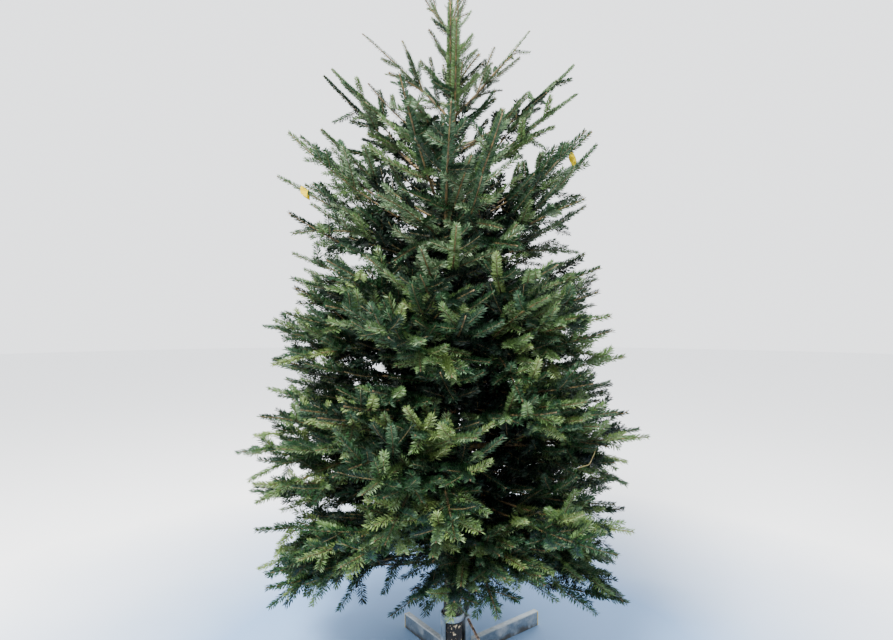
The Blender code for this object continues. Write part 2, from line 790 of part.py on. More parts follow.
def make_caps(plastic):
    """A plug over the open end of each arm."""
    half = BAR_WIDTH / 2
    low, high = CAP_STEP, BAR_HEIGHT - CAP_STEP
    inner, outer = LONG_ARM + GAP, LONG_ARM + GAP + CAP_THICKNESS
    make_box("end_cap_right", (inner, -half, low), (outer, half, high), plastic, CAP_EDGE)
    make_box("end_cap_left", (-outer, -half, low), (-inner, half, high), plastic, CAP_EDGE)
    inner, outer = SHORT_ARM + GAP, SHORT_ARM + GAP + CAP_THICKNESS
    make_box("end_cap_back", (-half, inner, low), (half, outer, high), plastic, CAP_EDGE)
    make_box("end_cap_front", (-half, -outer, low), (half, -inner, high), plastic, CAP_EDGE)


def make_upright(steel):
    """A box section on end, closed at its top and open where it stands on the cross."""
    low, middle = BAR_HEIGHT + GAP, UPRIGHT_START + BAR_WIDTH / 2
    rings = []
    for wall, height in ((BAR_WALL, UPRIGHT_TOP - BAR_WALL), (BAR_WALL, low), (0, low), (0, UPRIGHT_TOP)):
        across, along = UPRIGHT_WIDTH / 2 - wall, BAR_WIDTH / 2 - wall
        corners = ((-along, -across), (along, -across), (along, across), (-along, across))
        rings.append([stand_place(middle + ahead, aside, height) for ahead, aside in corners])
    return make_object("upright", *join_rings(rings), steel)


def turned_ring(inner, outer, low, high, sides):
    """Points and faces of a flat-sided ring round the trunk."""
    points, faces = [], []
    for side in range(sides):
        angle = 2 * math.pi * side / sides
        spoke = Vector((math.cos(angle), math.sin(angle), 0))
        for radius, height in ((inner, low), (outer, low), (outer, high), (inner, high)):
            points.append(radius * spoke + Vector((0, 0, height)))
    for side in range(sides):
        here, following = 4 * side, 4 * ((side + 1) % sides)
        for corner in range(4):
            after = (corner + 1) % 4
            faces.append((here + corner, here + after, following + after, following + corner))
    return points, faces


def box_body(low, high):
    """Points and faces of a box in the stand's own directions."""
    points = []
    for height in (low[2], high[2]):
        for along, across in ((low[0], low[1]), (high[0], low[1]), (high[0], high[1]), (low[0], high[1])):
            points.append(stand_place(along, across, height))
    faces = [(3, 2, 1, 0), (4, 5, 6, 7)]
    for side in range(4):
        after = (side + 1) % 4
        faces.append((side, after, after + 4, side + 4))
    return points, faces


def make_collar(steel):
    """The steel collar round the trunk, with the flat strap that stands on the cross."""
    low = UPRIGHT_TOP + GAP
    outer = COLLAR_INNER + COLLAR_WALL
    ring = turned_ring(COLLAR_INNER, outer, low, low + COLLAR_HEIGHT, COLLAR_SIDES)
    start = COLLAR_INNER + STRAP_OFFSET
    strap = box_body((-start - STRAP_THICKNESS, -STRAP_WIDTH / 2, BAR_HEIGHT + GAP),
                     (-start, STRAP_WIDTH / 2, low + COLLAR_HEIGHT - STRAP_STEP))
    return fuse("collar", [ring, strap], steel)


def make_knob(black):
    """The clamp screw's head: a neck that stands on the upright, and a grip with eased edges."""
    along, across = KNOB_OFFSET
    foot = UPRIGHT_TOP + GAP
    low, high = KNOB_NECK_HEIGHT, KNOB_NECK_HEIGHT + KNOB_HEIGHT
    profile = ((KNOB_NECK_RADIUS, 0), (KNOB_NECK_RADIUS, low),
               (KNOB_RADIUS - KNOB_EASE, low), (KNOB_RADIUS, low + KNOB_EASE),
               (KNOB_RADIUS, high - KNOB_EASE), (KNOB_RADIUS - KNOB_EASE, high))
    rings = [cross_ring(stand_place(along, across, foot + height), Vector((0, 0, 1)), radius, KNOB_SIDES)
             for radius, height in profile]
    return make_object("clamp_knob", *join_rings(rings), black, SMOOTH_ANGLE)


def make_brace(rusty):
    """The round bar that props the upright against the front arm, its ends cut flat to both."""
    face = UPRIGHT_START + BAR_WIDTH / 2
    top = stand_place(face, -UPRIGHT_WIDTH / 2 - GAP, UPRIGHT_TOP - BRACE_DROP)
    foot = stand_place(0.0, -BRACE_FOOT, BAR_HEIGHT + GAP)
    heading = (top - foot).normalized()
    low, high = (cross_ring(place, heading, BRACE_RADIUS, BRACE_SIDES) for place in (foot, top))
    low = [point - heading * ((point.z - foot.z) / heading.z) for point in low]
    side = stand_place(0, 1)
    high = [point - heading * ((point - top).dot(side) / heading.dot(side)) for point in high]
    return make_object("brace", *join_rings([low, high]), rusty, SMOOTH_ANGLE)


# ---------------------------------------------------------------- the whole tree


def main():
    clear_scene()
    bark = make_material("bark", (0.19, 0.14, 0.095), 0.9)
    needles = make_material("fir_needles", (0.055, 0.13, 0.06), 0.55)
    steel = make_material("galvanised_steel", (0.52, 0.57, 0.60), 0.42, 0.85)
    plastic = make_material("yellow_plastic", (0.75, 0.55, 0.03), 0.5)
    black = make_material("black_plastic", (0.02, 0.02, 0.022), 0.45)
    rusty = make_material("rusty_bar", (0.30, 0.19, 0.11), 0.8, 0.3)
    make_trunk(bark)
    for limb in list_limbs():
        if limb.tier.bare_share:
            make_bough(limb, bark)
        make_mass(limb, needles)
    make_leader(needles)
    make_cross(steel)
    make_caps(plastic)
    make_upright(steel)
    make_collar(steel)
    make_knob(black)
    make_brace(rusty)


main()
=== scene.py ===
"""Looks of a cut fir tree in a galvanised cross stand: bark, twigs, needles, buds, stand and tags."""

import logging
import math
import random
from dataclasses import dataclass, field
from enum import Enum

import bmesh
import bpy
import numpy as np
from mathutils import Matrix, Vector


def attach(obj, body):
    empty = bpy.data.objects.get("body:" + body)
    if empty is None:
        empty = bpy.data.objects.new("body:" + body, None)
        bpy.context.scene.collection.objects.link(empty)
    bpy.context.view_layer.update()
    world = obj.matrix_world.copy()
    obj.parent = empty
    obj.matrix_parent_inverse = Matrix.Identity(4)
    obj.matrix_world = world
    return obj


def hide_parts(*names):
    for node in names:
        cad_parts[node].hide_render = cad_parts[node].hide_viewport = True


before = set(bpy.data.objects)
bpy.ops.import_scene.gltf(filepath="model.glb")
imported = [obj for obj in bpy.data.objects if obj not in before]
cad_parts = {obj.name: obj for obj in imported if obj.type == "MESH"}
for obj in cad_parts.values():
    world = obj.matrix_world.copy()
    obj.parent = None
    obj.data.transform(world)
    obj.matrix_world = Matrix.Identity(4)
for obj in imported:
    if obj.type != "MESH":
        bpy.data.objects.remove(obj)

logging.basicConfig(level=logging.INFO, format="%(message)s")
LOG = logging.getLogger("fir")

Triple = tuple[float, float, float]
Socket = bpy.types.NodeSocket

BODY = "root"
UP = Vector((0, 0, 1))

# ---------------------------------------------------------------- the growth rule of the source

GAP = 0.0003
SEED = 41
CELL_MARGIN = 0.006
TRUNK_CLEARANCE = 0.02
TRUNK_SIDES = 10
FOOT_HEIGHT = 0.0703
TRUNK_TOP = 2.82
FOOT_RADIUS = 0.044
BUTT_HEIGHT = 0.36
BUTT_RADIUS = 0.0375
TOP_RADIUS = 0.0068
TRUNK_LEAN = -0.014
TRUNK_BOW = 0.007
BOW_LENGTH = 1.9
WHORL_SWELLING = 1.07
SWELLING_REACH = 0.03
LEADER_LENGTH = 0.235
LEADER_LEAN = 0.004
AXIS_TIP_RADIUS = 0.0034
LIMB_TAPER = 0.9
FORK_BOW = 0.03
FORK_ROOT_SHARE = 0.75

# A fork: start share on the main axis, turn as a share of the half-sector, reach share, lift in metres.
SLIM_FORKS = ((0.28, 0.45, 0.72, 0.035), (0.45, -0.5, 0.78, -0.03))
CROWN_FORKS = ((0.22, 0.50, 0.76, -0.13), (0.30, -0.52, 0.80, -0.06), (0.30, 0.1, 0.56, 0.12))
UPPER_FORKS = ((0.10, 0.50, 0.86, -0.30), (0.20, -0.54, 0.82, -0.13), (0.10, 0.12, 0.50, 0.14))
HIGH_FORKS = ((0.04, 0.45, 1.00, -0.46), (0.10, -0.58, 0.90, -0.22), (0.06, -0.16, 0.50, 0.12))
FULL_FORKS = ((0.04, 0.58, 0.90, -0.15), (0.10, -0.58, 0.88, 0.08), (0.05, -0.12, 0.50, 0.18))
LOW_FORKS = ((0.04, 0.62, 0.90, 0.06), (0.10, -0.62, 0.94, -0.03), (0.05, 0.12, 0.50, 0.16))
FLOOR_ROOF = (0.42, 0.40, 0.24)
FRONT_FLOOR_LIFT = (0.0, 0.06, 0.46)
AZIMUTH_JITTER = 5.0
REACH_JITTER = 0.03
HEIGHT_JITTER = 0.015
SWAY = 0.02

# Heights of a tier above which its shoots turn cooler and steeper, slimmer, and bare at the crown's stems.
COOL_HEIGHT = 1.6
SLIM_HEIGHT = 2.0
CROWN_HEIGHT = 2.3
# The turn from each shoot or needle to the next, in degrees, a needled length that covers any shoot, and where
# along a straight shoot its points lie.
GOLDEN_TURN = 137.5
WHOLE = 9.0
TWIG_STEPS = (0, 0.33, 0.67, 1)


@dataclass(frozen=True)
class Tier:
    """A whorl of limbs: sizes in metres, angles in degrees. Skews change a size towards +X and +Y."""

    name: str
    height: float
    count: int
    first_azimuth: float
    reach: float
    reach_skew: tuple[float, float]
    tip_height: float
    tip_skew: tuple[float, float]
    rise: float
    bare_share: float
    root_radius: float
    roof: Triple
    forks: tuple
    year: float
    needle: float
    filling: tuple[int, int]


TIERS = (
    Tier("low", 0.58, 4, 188.0, 0.80, (-0.03, 0.12), 0.42, (-0.02, -0.11), 4.0, 0.16, 0.0115,
         (0.76, 0.73, 0.70), LOW_FORKS, 0.150, 0.028, (7, 8)),
    Tier("wide", 0.95, 5, 184.0, 0.885, (-0.025, 0.02), 1.00, (0.06, 0.0), 6.0, 0.16, 0.0115,
         (1.15, 1.17, 1.22), FULL_FORKS, 0.160, 0.028, (4, 8)),
    Tier("middle", 1.34, 5, 176.0, 0.825, (-0.03, 0.02), 1.49, (0.02, 0.0), 14.0, 0.16, 0.0105,
         (1.52, 1.66, 1.74), FULL_FORKS, 0.155, 0.028, (4, 8)),
    Tier("high", 1.689, 4, 181.0, 0.70, (-0.038, 0.0), 2.21, (0.073, 0.0), 33.0, 0.16, 0.0095,
         (1.90, 2.22, 2.62), HIGH_FORKS, 0.150, 0.027, (3, 7)),
    Tier("upper", 2.057, 4, 178.0, 0.555, (0.0, 0.0), 2.54, (-0.042, 0.0), 40.0, 0.0, 0.0078,
         (2.24, 2.60, 3.10), UPPER_FORKS, 0.155, 0.0235, (1, 3)),
    Tier("crown", 2.390, 4, 183.0, 0.372, (-0.008, 0.0), 2.768, (0.028, 0.0), 44.0, 0.0, 0.0062,
         (2.60, 3.02, 3.60), CROWN_FORKS, 0.155, 0.0195, (0, 1)),
    Tier("top", 2.768, 3, 186.0, 0.150, (0.0, 0.0), 2.965, (0.0, 0.0), 50.0, 0.0, 0.0042,
         (3.40, 3.50, 3.60), SLIM_FORKS, 0.12, 0.0185, (0, 0)),
)


@dataclass(frozen=True)
class Limb:
    """One limb of a tier, with its own azimuth, reach, tip height, sector and sideways sway."""

    name: str
    tier: Tier
    floor: Triple
    azimuth: float
    half_sector: float
    reach: float
    tip_height: float
    sway: float

    def point(self, share: float) -> Vector:
        """Follows the main axis.

        Args:
            share: 0 at the trunk's surface, 1 at the furthest tip.
        Returns:
            The axis's point there.
        """
        tier = self.tier
        start = trunk_reach(tier.height, self.azimuth) + GAP
        rise = math.tan(math.radians(tier.rise)) * self.reach
        bend = self.tip_height - tier.height - rise
        distance = start + (self.reach - start) * share
        sideways = self.sway * math.sin(math.pi * share)
        base = trunk_centre(tier.height)
        height = tier.height + rise * share + bend * share * share
        ahead, across = outward(self.azimuth), outward(self.azimuth + 90)
        return Vector((base.x, base.y, 0)) + distance * ahead + sideways * across + Vector((0, 0, height))

    def radius(self, share: float) -> float:
        """Radius of the main axis at a share of its length."""
        return AXIS_TIP_RADIUS + (self.tier.root_radius - AXIS_TIP_RADIUS) * (1 - share) ** LIMB_TAPER

    def holds(self, point: Vector, ease: float = 0.0) -> bool:
        """Tells whether a point keeps to the limb's own sector and to the slab between two roofs.

        Args:
            point: the point to test.
            ease: how far past the sector and the slab it may go.
        Returns:
            True where it keeps to them and stands clear of the trunk.
        """
        base = trunk_centre(self.tier.height)
        offset = Vector((point.x - base.x, point.y - base.y, 0))
        distance = offset.length
        turn = math.atan2(offset.dot(outward(self.azimuth + 90)), offset.dot(outward(self.azimuth)))
        spare = math.radians(self.half_sector + AZIMUTH_JITTER) - abs(turn)
        if distance * math.sin(max(-1.5, min(spare, math.pi / 2))) < CELL_MARGIN - ease:
            return False
        low = roof_height(self.floor, distance) + CELL_MARGIN - (0.3 * ease if self.tier is TIERS[0] else ease)
        high = roof_height(self.tier.roof, distance) - CELL_MARGIN + ease
        clear = trunk_radius(max(point.z, FOOT_HEIGHT)) + TRUNK_CLEARANCE
        return low < point.z < high and distance > clear

    def fork_tip(self, turn: float, reach_share: float, lift: float) -> Vector:
        """Places the tip of a side axis.

        Args:
            turn: its turn as a share of the half-sector.
            reach_share: its reach as a share of the limb's.
            lift: its height over the main axis.
        Returns:
            The tip.
        """
        azimuth = self.azimuth + turn * self.half_sector
        base = trunk_centre(self.tier.height)
        tip = Vector((base.x, base.y, 0)) + self.reach * reach_share * outward(azimuth)
        tip.z = self.point(reach_share).z + lift
        return tip


def outward(azimuth: float) -> Vector:
    """Level unit vector towards an azimuth in degrees."""
    return Vector((math.cos(math.radians(azimuth)), math.sin(math.radians(azimuth)), 0))


def trunk_centre(height: float) -> Vector:
    """Follows the leaning, slightly bowed centre line of the trunk.

    Args:
        height: over the floor.
    Returns:
        The centre at that height.
    """
    share = max(0.0, height - FOOT_HEIGHT) / (TRUNK_TOP - FOOT_HEIGHT)
    bow = TRUNK_BOW * math.sin(2 * math.pi * (height - FOOT_HEIGHT) / BOW_LENGTH)
    return Vector((TRUNK_LEAN * share ** 0.5 + bow, 0.4 * bow, height))


def trunk_radius(height: float) -> float:
    """The trunk's taper, thicker at the butt, with a swelling at each whorl.

    Args:
        height: over the floor.
    Returns:
        The radius at that height.
    """
    if height < BUTT_HEIGHT:
        share = (height - FOOT_HEIGHT) / (BUTT_HEIGHT - FOOT_HEIGHT)
        radius = FOOT_RADIUS + (BUTT_RADIUS - FOOT_RADIUS) * share
    else:
        share = (height - BUTT_HEIGHT) / (TRUNK_TOP - BUTT_HEIGHT)
        radius = BUTT_RADIUS + (TOP_RADIUS - BUTT_RADIUS) * share
    nearest = min(abs(height - tier.height) for tier in TIERS)
    return radius * (1 + (WHORL_SWELLING - 1) * max(0.0, 1 - nearest / SWELLING_REACH))


def trunk_reach(height: float, azimuth: float) -> float:
    """Measures the faceted solid trunk.

    Args:
        height, azimuth: where it is measured.
    Returns:
        How far it reaches from its centre line.
    """
    step = 360.0 / TRUNK_SIDES
    off_corner = abs((azimuth + step / 2) % step - step / 2)
    return trunk_radius(height) * math.cos(math.radians(off_corner))


def roof_height(roof: Triple, distance: float) -> float:
    """Height of a cell boundary, a parabola.

    Args:
        roof: its heights at 0, 0.5 and 1 m from the trunk.
        distance: how far from the trunk it is read.
    Returns:
        The height there.
    """
    root, middle, far = roof
    bend = 2 * (far + root) - 4 * middle
    slope = 4 * middle - 3 * root - far
    return root + slope * distance + bend * distance * distance


def list_limbs() -> list[Limb]:
    """Every limb of every tier, with its seeded differences, as the source makes them.

    Returns:
        The limbs, from the lowest tier up.
    """
    limbs = []
    floor = FLOOR_ROOF
    for tier in TIERS:
        for number in range(tier.count):
            draw = random.Random(f"{SEED} {tier.name} {number}")
            azimuth = tier.first_azimuth + 360.0 * number / tier.count
            azimuth += draw.uniform(-AZIMUTH_JITTER, AZIMUTH_JITTER)
            side, back = math.cos(math.radians(azimuth)), math.sin(math.radians(azimuth))
            reach = tier.reach + tier.reach_skew[0] * side + tier.reach_skew[1] * back
            reach *= 1 + draw.uniform(-REACH_JITTER, REACH_JITTER)
            tip = tier.tip_height + tier.tip_skew[0] * side + tier.tip_skew[1] * back
            tip += draw.uniform(-HEIGHT_JITTER, HEIGHT_JITTER)
            sway = draw.uniform(-SWAY, SWAY)
            half_sector = 180.0 / tier.count - AZIMUTH_JITTER
            under = floor
            if floor is FLOOR_ROOF:
                share = max(0.0, -back)
                under = tuple(low + share * lift for low, lift in zip(FLOOR_ROOF, FRONT_FLOOR_LIFT))
            name = f"{tier.name}_{number + 1}"
            limbs.append(Limb(name, tier, under, azimuth, half_sector, reach, tip, sway))
        floor = tier.roof
    return limbs


# ---------------------------------------------------------------- node trees and finishes


class Nodes:
    """Short calls that build a material's node tree on object coordinates."""

    def __init__(self, name: str) -> None:
        """Starts a material with its shader.

        Args:
            name: the material's name.
        """
        self.material = bpy.data.materials.new(name)
        self.material.use_nodes = True
        self.tree = self.material.node_tree
        self.shader = self.tree.nodes["Principled BSDF"]
        self.place = self.add("TexCoord", "Object", {})

    def add(self, kind: str, output: str | int, feeds: dict, **settings: str) -> Socket:
        """Adds a node and feeds its inputs.

        Args:
            kind: the node's type.
            output: the output wanted.
            feeds: a socket, number or tuple for each input, by name or number.
            settings: the node's own settings.
        Returns:
            The output's socket.
        """
        node = self.tree.nodes.new(f"ShaderNode{kind}")
        for name, value in settings.items():
            setattr(node, name, value)
        for key, value in feeds.items():
            if isinstance(value, Socket):
                self.tree.links.new(value, node.inputs[key])
            else:
                node.inputs[key].default_value = value
        return node.outputs[output]

    def set(self, **sockets: float) -> None:
        """Sets constant values on the shader's own sockets, with _ standing for a space."""
        for name, value in sockets.items():
            self.shader.inputs[name.replace("_", " ")].default_value = value

    def stretch(self, scale: Triple) -> Socket:
        """Object coordinates scaled along each axis."""
        return self.add("Mapping", "Vector", {"Scale": scale, "Vector": self.place})

    def noise(self, scale: float, detail: float = 4.0, vector: Socket | None = None,
              distortion: float = 0.0) -> Socket:
        """Noise between 0 and 1."""
        feeds = {"Scale": scale, "Detail": detail, "Distortion": distortion, "Vector": vector or self.place}
        return self.add("TexNoise", "Fac", feeds)

    def cells(self, scale: float, feature: str = "F1", vector: Socket | None = None,
              output: str = "Distance") -> Socket:
        """Voronoi cells."""
        return self.add("TexVoronoi", output, {"Scale": scale, "Vector": vector or self.place}, feature=feature)

    def height(self) -> Socket:
        """The Z coordinate in metres."""
        return self.add("SeparateXYZ", "Z", {0: self.place})

    def span(self, value: Socket, low: float, high: float, start: float = 0.0, end: float = 1.0) -> Socket:
        """Maps low..high to start..end, held at both ends."""
        return self.add("MapRange", "Result", {"From Min": low, "From Max": high, "To Min": start, "To Max": end,
                                               "Value": value})

    def ramp(self, value: Socket, *stops: tuple[float, Triple]) -> Socket:
        """Colours a value.

        Args:
            value: the socket to colour.
            stops: (position, colour) pairs.
        Returns:
            The colour's socket.
        """
        colour = self.add("ValToRGB", "Color", {"Fac": value})
        elements = colour.node.color_ramp.elements
        while len(elements) < len(stops):
            elements.new(0.5)
        for element, (position, shade) in zip(elements, stops):
            element.position = position
            element.color = (*shade, 1.0)
        return colour

    def mix(self, share: Socket, first: Socket | Triple, second: Socket | Triple) -> Socket:
        """Mixes two colours, given as sockets or as plain colours."""
        first, second = ((*one, 1.0) if isinstance(one, tuple) else one for one in (first, second))
        return self.add("Mix", 2, {"Factor": share, 6: first, 7: second}, data_type="RGBA")

    def math(self, operation: str, first: Socket | float, second: Socket | float) -> Socket:
        """One arithmetic step on two sockets or numbers."""
        return self.add("Math", 0, {0: first, 1: second}, operation=operation)

    def paint(self, colour: Socket, roughness: Socket, metallic: Socket | None = None) -> None:
        """Links patterns to the shader's sockets.

        Args:
            colour, roughness, metallic: what feeds each; the last may be left out.
        """
        for name, value in (("Base Color", colour), ("Roughness", roughness), ("Metallic", metallic)):
            if value is not None:
                self.tree.links.new(value, self.shader.inputs[name])

    def bump(self, height: Socket, strength: float, distance: float) -> None:
        """Adds relief from a height socket."""
        normal = self.add("Bump", "Normal", {"Strength": strength, "Distance": distance, "Height": height})
        self.tree.links.new(normal, self.shader.inputs["Normal"])


@dataclass(frozen=True)
class BarkFinish:
    """Grey-brown fir bark: blistered and tan above, cracked low down, and at the foot nearly black with pale flecks,
    the black being painted shade under the crown.
    """

    name: str = "bark"
    pale: Triple = (0.20, 0.150, 0.095)
    golden: Triple = (0.15, 0.078, 0.026)
    grey: Triple = (0.07, 0.056, 0.042)
    # The foot's colours: near black as painted shade under the crown, and dark brown rims round pale flecks.
    dark: Triple = (0.0045, 0.0042, 0.0045)
    fleck_rim: Triple = (0.025, 0.02, 0.015)
    pale_fleck: Triple = (0.50, 0.40, 0.25)
    groove: Triple = (0.075, 0.05, 0.03)
    crack: Triple = (0.03, 0.022, 0.016)

    def build(self) -> bpy.types.Material:
        """Builds the node tree.

        Returns:
            The material.
        """
        nodes = Nodes(self.name)
        mottle = nodes.noise(26.0, 6.0, nodes.stretch((1.0, 1.0, 0.45)))
        young = nodes.ramp(mottle, (0.30, self.grey), (0.48, self.golden), (0.66, self.pale))
        cracks = nodes.cells(70.0, "DISTANCE_TO_EDGE", nodes.stretch((1.0, 1.0, 0.4)))
        flecks = nodes.noise(95.0, 3.0)
        # Below about 0.3 to 0.5 m the bark turns nearly black with pale flecks: painted shade under the lowest limbs.
        foot = nodes.ramp(flecks, (0.56, self.dark), (0.60, self.fleck_rim), (0.65, self.pale_fleck))
        wander = nodes.math("ADD", nodes.height(), nodes.span(nodes.noise(9.0), 0.3, 0.7, -0.09, 0.09))
        grain = nodes.noise(120.0, 5.0, nodes.stretch((1.0, 1.0, 0.12)))
        lined = nodes.mix(nodes.span(grain, 0.36, 0.46), self.groove, young)
        low = nodes.mix(nodes.span(cracks, 0.0, 0.10), self.crack, lined)
        plain = nodes.mix(nodes.span(nodes.height(), 0.7, 1.3), low, lined)
        colour = nodes.mix(nodes.span(wander, 0.30, 0.52), foot, plain)
        nodes.paint(colour, nodes.span(mottle, 0.3, 0.7, 0.75, 0.95))
        nodes.bump(nodes.math("ADD", cracks, nodes.math("MULTIPLY", flecks, 0.35)), 0.5, 0.004)
        return nodes.material


@dataclass(frozen=True)
class TwigFinish:
    """Thin young bark with fine lengthwise mottling."""

    name: str
    first: Triple
    second: Triple
    third: Triple

    def build(self) -> bpy.types.Material:
        """Builds the node tree.

        Returns:
            The material.
        """
        nodes = Nodes(self.name)
        mottle = nodes.noise(60.0, 5.0)
        colour = nodes.ramp(mottle, (0.34, self.first), (0.5, self.second), (0.66, self.third))
        nodes.paint(colour, nodes.span(mottle, 0.3, 0.7, 0.6, 0.85))
        nodes.bump(nodes.noise(320.0, 3.0), 0.35, 0.0012)
        return nodes.material


@dataclass(frozen=True)
class SteelFinish:
    """Galvanised sheet steel: zinc spangles, dull white bloom and a little dirt near the floor."""

    name: str = "galvanised"
    light: Triple = (0.27, 0.305, 0.33)
    dull: Triple = (0.20, 0.235, 0.26)
    bloom: Triple = (0.33, 0.360, 0.38)
    dirt: Triple = (0.16, 0.14, 0.115)

    def build(self) -> bpy.types.Material:
        """Builds the node tree.

        Returns:
            The material.
        """
        nodes = Nodes(self.name)
        spangle = nodes.cells(95.0, output="Color")
        patch = nodes.noise(16.0, 6.0, distortion=0.6)
        zinc = nodes.ramp(spangle, (0.15, self.dull), (0.85, self.light))
        worn = nodes.mix(nodes.span(patch, 0.52, 0.70), zinc, self.bloom)
        soiled = nodes.math("ADD", nodes.height(), nodes.span(patch, 0.3, 0.7, -0.02, 0.02))
        colour = nodes.mix(nodes.span(soiled, 0.002, 0.02), self.dirt, worn)
        nodes.paint(colour, nodes.span(patch, 0.35, 0.7, 0.30, 0.62), nodes.span(patch, 0.5, 0.75, 0.9, 0.35))
        nodes.bump(nodes.noise(240.0, 3.0), 0.12, 0.001)
        return nodes.material


@dataclass(frozen=True)
class RustFinish:
    """Bare steel that has rusted in patches of brown, orange and near-black."""

    name: str = "rusty"
    stops: tuple = ((0.34, (0.024, 0.016, 0.012)), (0.45, (0.090, 0.052, 0.034)),
                    (0.53, (0.230, 0.155, 0.105)), (0.63, (0.50, 0.43, 0.35)))

    def build(self) -> bpy.types.Material:
        """Builds the node tree.

        Returns:
            The material.
        """
        nodes = Nodes(self.name)
        patch = nodes.noise(55.0, 7.0, distortion=0.8)
        colour = nodes.ramp(patch, *self.stops)
        nodes.paint(colour, nodes.span(patch, 0.3, 0.7, 0.95, 0.6), nodes.span(patch, 0.55, 0.7, 0.1, 0.6))
        nodes.bump(nodes.noise(420.0, 5.0), 0.5, 0.0012)
        return nodes.material


@dataclass(frozen=True)
class PlasticFinish:
    """Moulded plastic with a fine grain and faint scuffs."""

    name: str
    colour: Triple
    shade: Triple
    roughness: float
    grain: float = 900.0
    gloss: float = 0.5

    def build(self) -> bpy.types.Material:
        """Builds the node tree.

        Returns:
            The material.
        """
        nodes = Nodes(self.name)
        scuff = nodes.noise(48.0, 6.0, distortion=1.2)
        colour = nodes.ramp(scuff, (0.36, self.shade), (0.54, self.colour))
        nodes.paint(colour, nodes.span(scuff, 0.35, 0.7, self.roughness - 0.08, self.roughness + 0.15))
        nodes.bump(nodes.noise(self.grain, 2.0), 0.15, 0.0004)
        nodes.set(Specular_IOR_Level=self.gloss)
        return nodes.material


@dataclass(frozen=True)
class FloorFinish:
    """Pale, faintly uneven floor, cooler near the stand."""

    name: str = "floor"
    near: Triple = (0.155, 0.265, 0.445)
    far: Triple = (0.86, 0.87, 0.88)

    def build(self) -> bpy.types.Material:
        """Builds the node tree.

        Returns:
            The material.
        """
        nodes = Nodes(self.name)
        wash = nodes.noise(0.9, 3.0)
        reach = nodes.add("VectorMath", "Value", {0: nodes.place}, operation="LENGTH")
        reach = nodes.math("ADD", reach, nodes.span(wash, 0.3, 0.7, -0.08, 0.08))
        colour = nodes.mix(nodes.span(reach, 1.1, 2.9), self.near, self.far)
        nodes.paint(colour, nodes.span(wash, 0.3, 0.7, 0.75, 0.9))
        return nodes.material


class Tone(Enum):
    """Needle colours, dealt out by spray: (upper face, under face)."""

    # The first two tones are darker than needles are: near-black painted shade for needles deep in the crown, and
    # dark green deepened by painted shade.
    INNER = ((0.0012, 0.0064, 0.0030), (0.0032, 0.0100, 0.0050))
    DEEP = ((0.0022, 0.0120, 0.0046), (0.0078, 0.0210, 0.0100))
    MIDDLE = ((0.0080, 0.0290, 0.0090), (0.0220, 0.0450, 0.0200))
    FRESH = ((0.0550, 0.1020, 0.0320), (0.0980, 0.1460, 0.0720))
    YELLOW = ((0.0920, 0.1420, 0.0400), (0.1500, 0.2040, 0.0900))
    COOL = ((0.0120, 0.0370, 0.0155), (0.0420, 0.0740, 0.0400))
    GREY = ((0.0460, 0.0840, 0.0380), (0.1050, 0.1480, 0.0860))

    def build(self) -> list[bpy.types.Material]:
        """Makes plain colours with a soft gloss.

        Returns:
            The materials of the upper and the under faces.
        """
        made = []
        for part, colour, roughness in (("upper", self.value[0], 0.42), ("under", self.value[1], 0.6)):
            material = bpy.data.materials.new(f"needle_{self.name.lower()}_{part}")
            material.use_nodes = True
            shader = material.node_tree.nodes["Principled BSDF"]
            shader.inputs["Base Color"].default_value = (*colour, 1.0)
            shader.inputs["Roughness"].default_value = roughness
            shader.inputs["Specular IOR Level"].default_value = 0.22
            made.append(material)
        return made


# The tones dealt to sprays, each with its weight, by where they grow. The inside tables lean on the darkest tones:
# older needles' darker green deepened into painted shade inside the crown.
COOL_OUTSIDE = ((Tone.DEEP, 0.10), (Tone.MIDDLE, 0.16), (Tone.COOL, 0.24), (Tone.GREY, 0.36), (Tone.FRESH, 0.14))
COOL_INSIDE = ((Tone.DEEP, 0.42), (Tone.MIDDLE, 0.26), (Tone.COOL, 0.18), (Tone.GREY, 0.12), (Tone.FRESH, 0.02))
LOW_TIPS = ((Tone.DEEP, 0.18), (Tone.MIDDLE, 0.30), (Tone.FRESH, 0.24), (Tone.YELLOW, 0.10), (Tone.COOL, 0.18))
LOW_MIDDLE = ((Tone.INNER, 0.2), (Tone.DEEP, 0.36), (Tone.MIDDLE, 0.32), (Tone.FRESH, 0.12))
LOW_INSIDE = ((Tone.INNER, 0.55), (Tone.DEEP, 0.35), (Tone.MIDDLE, 0.10))


# ---------------------------------------------------------------- meshes


def link_object(name: str, data: bpy.types.ID) -> bpy.types.Object:
    """Makes an object in the scene.

    Args:
        name: the object's name.
        data: its mesh, light or camera.
    Returns:
        The linked object.
    """
    made = bpy.data.objects.new(name, data)
    bpy.context.scene.collection.objects.link(made)
    return made


def mesh_object(name: str, shape: bmesh.types.BMesh) -> bpy.types.Object:
    """Makes an object of a shape and frees the shape.

    Args:
        name: the object's and its mesh's name.
        shape: what it looks like.
    Returns:
        The linked object.
    """
    mesh = bpy.data.meshes.new(name)
    shape.to_mesh(mesh)
    shape.free()
    return link_object(name, mesh)


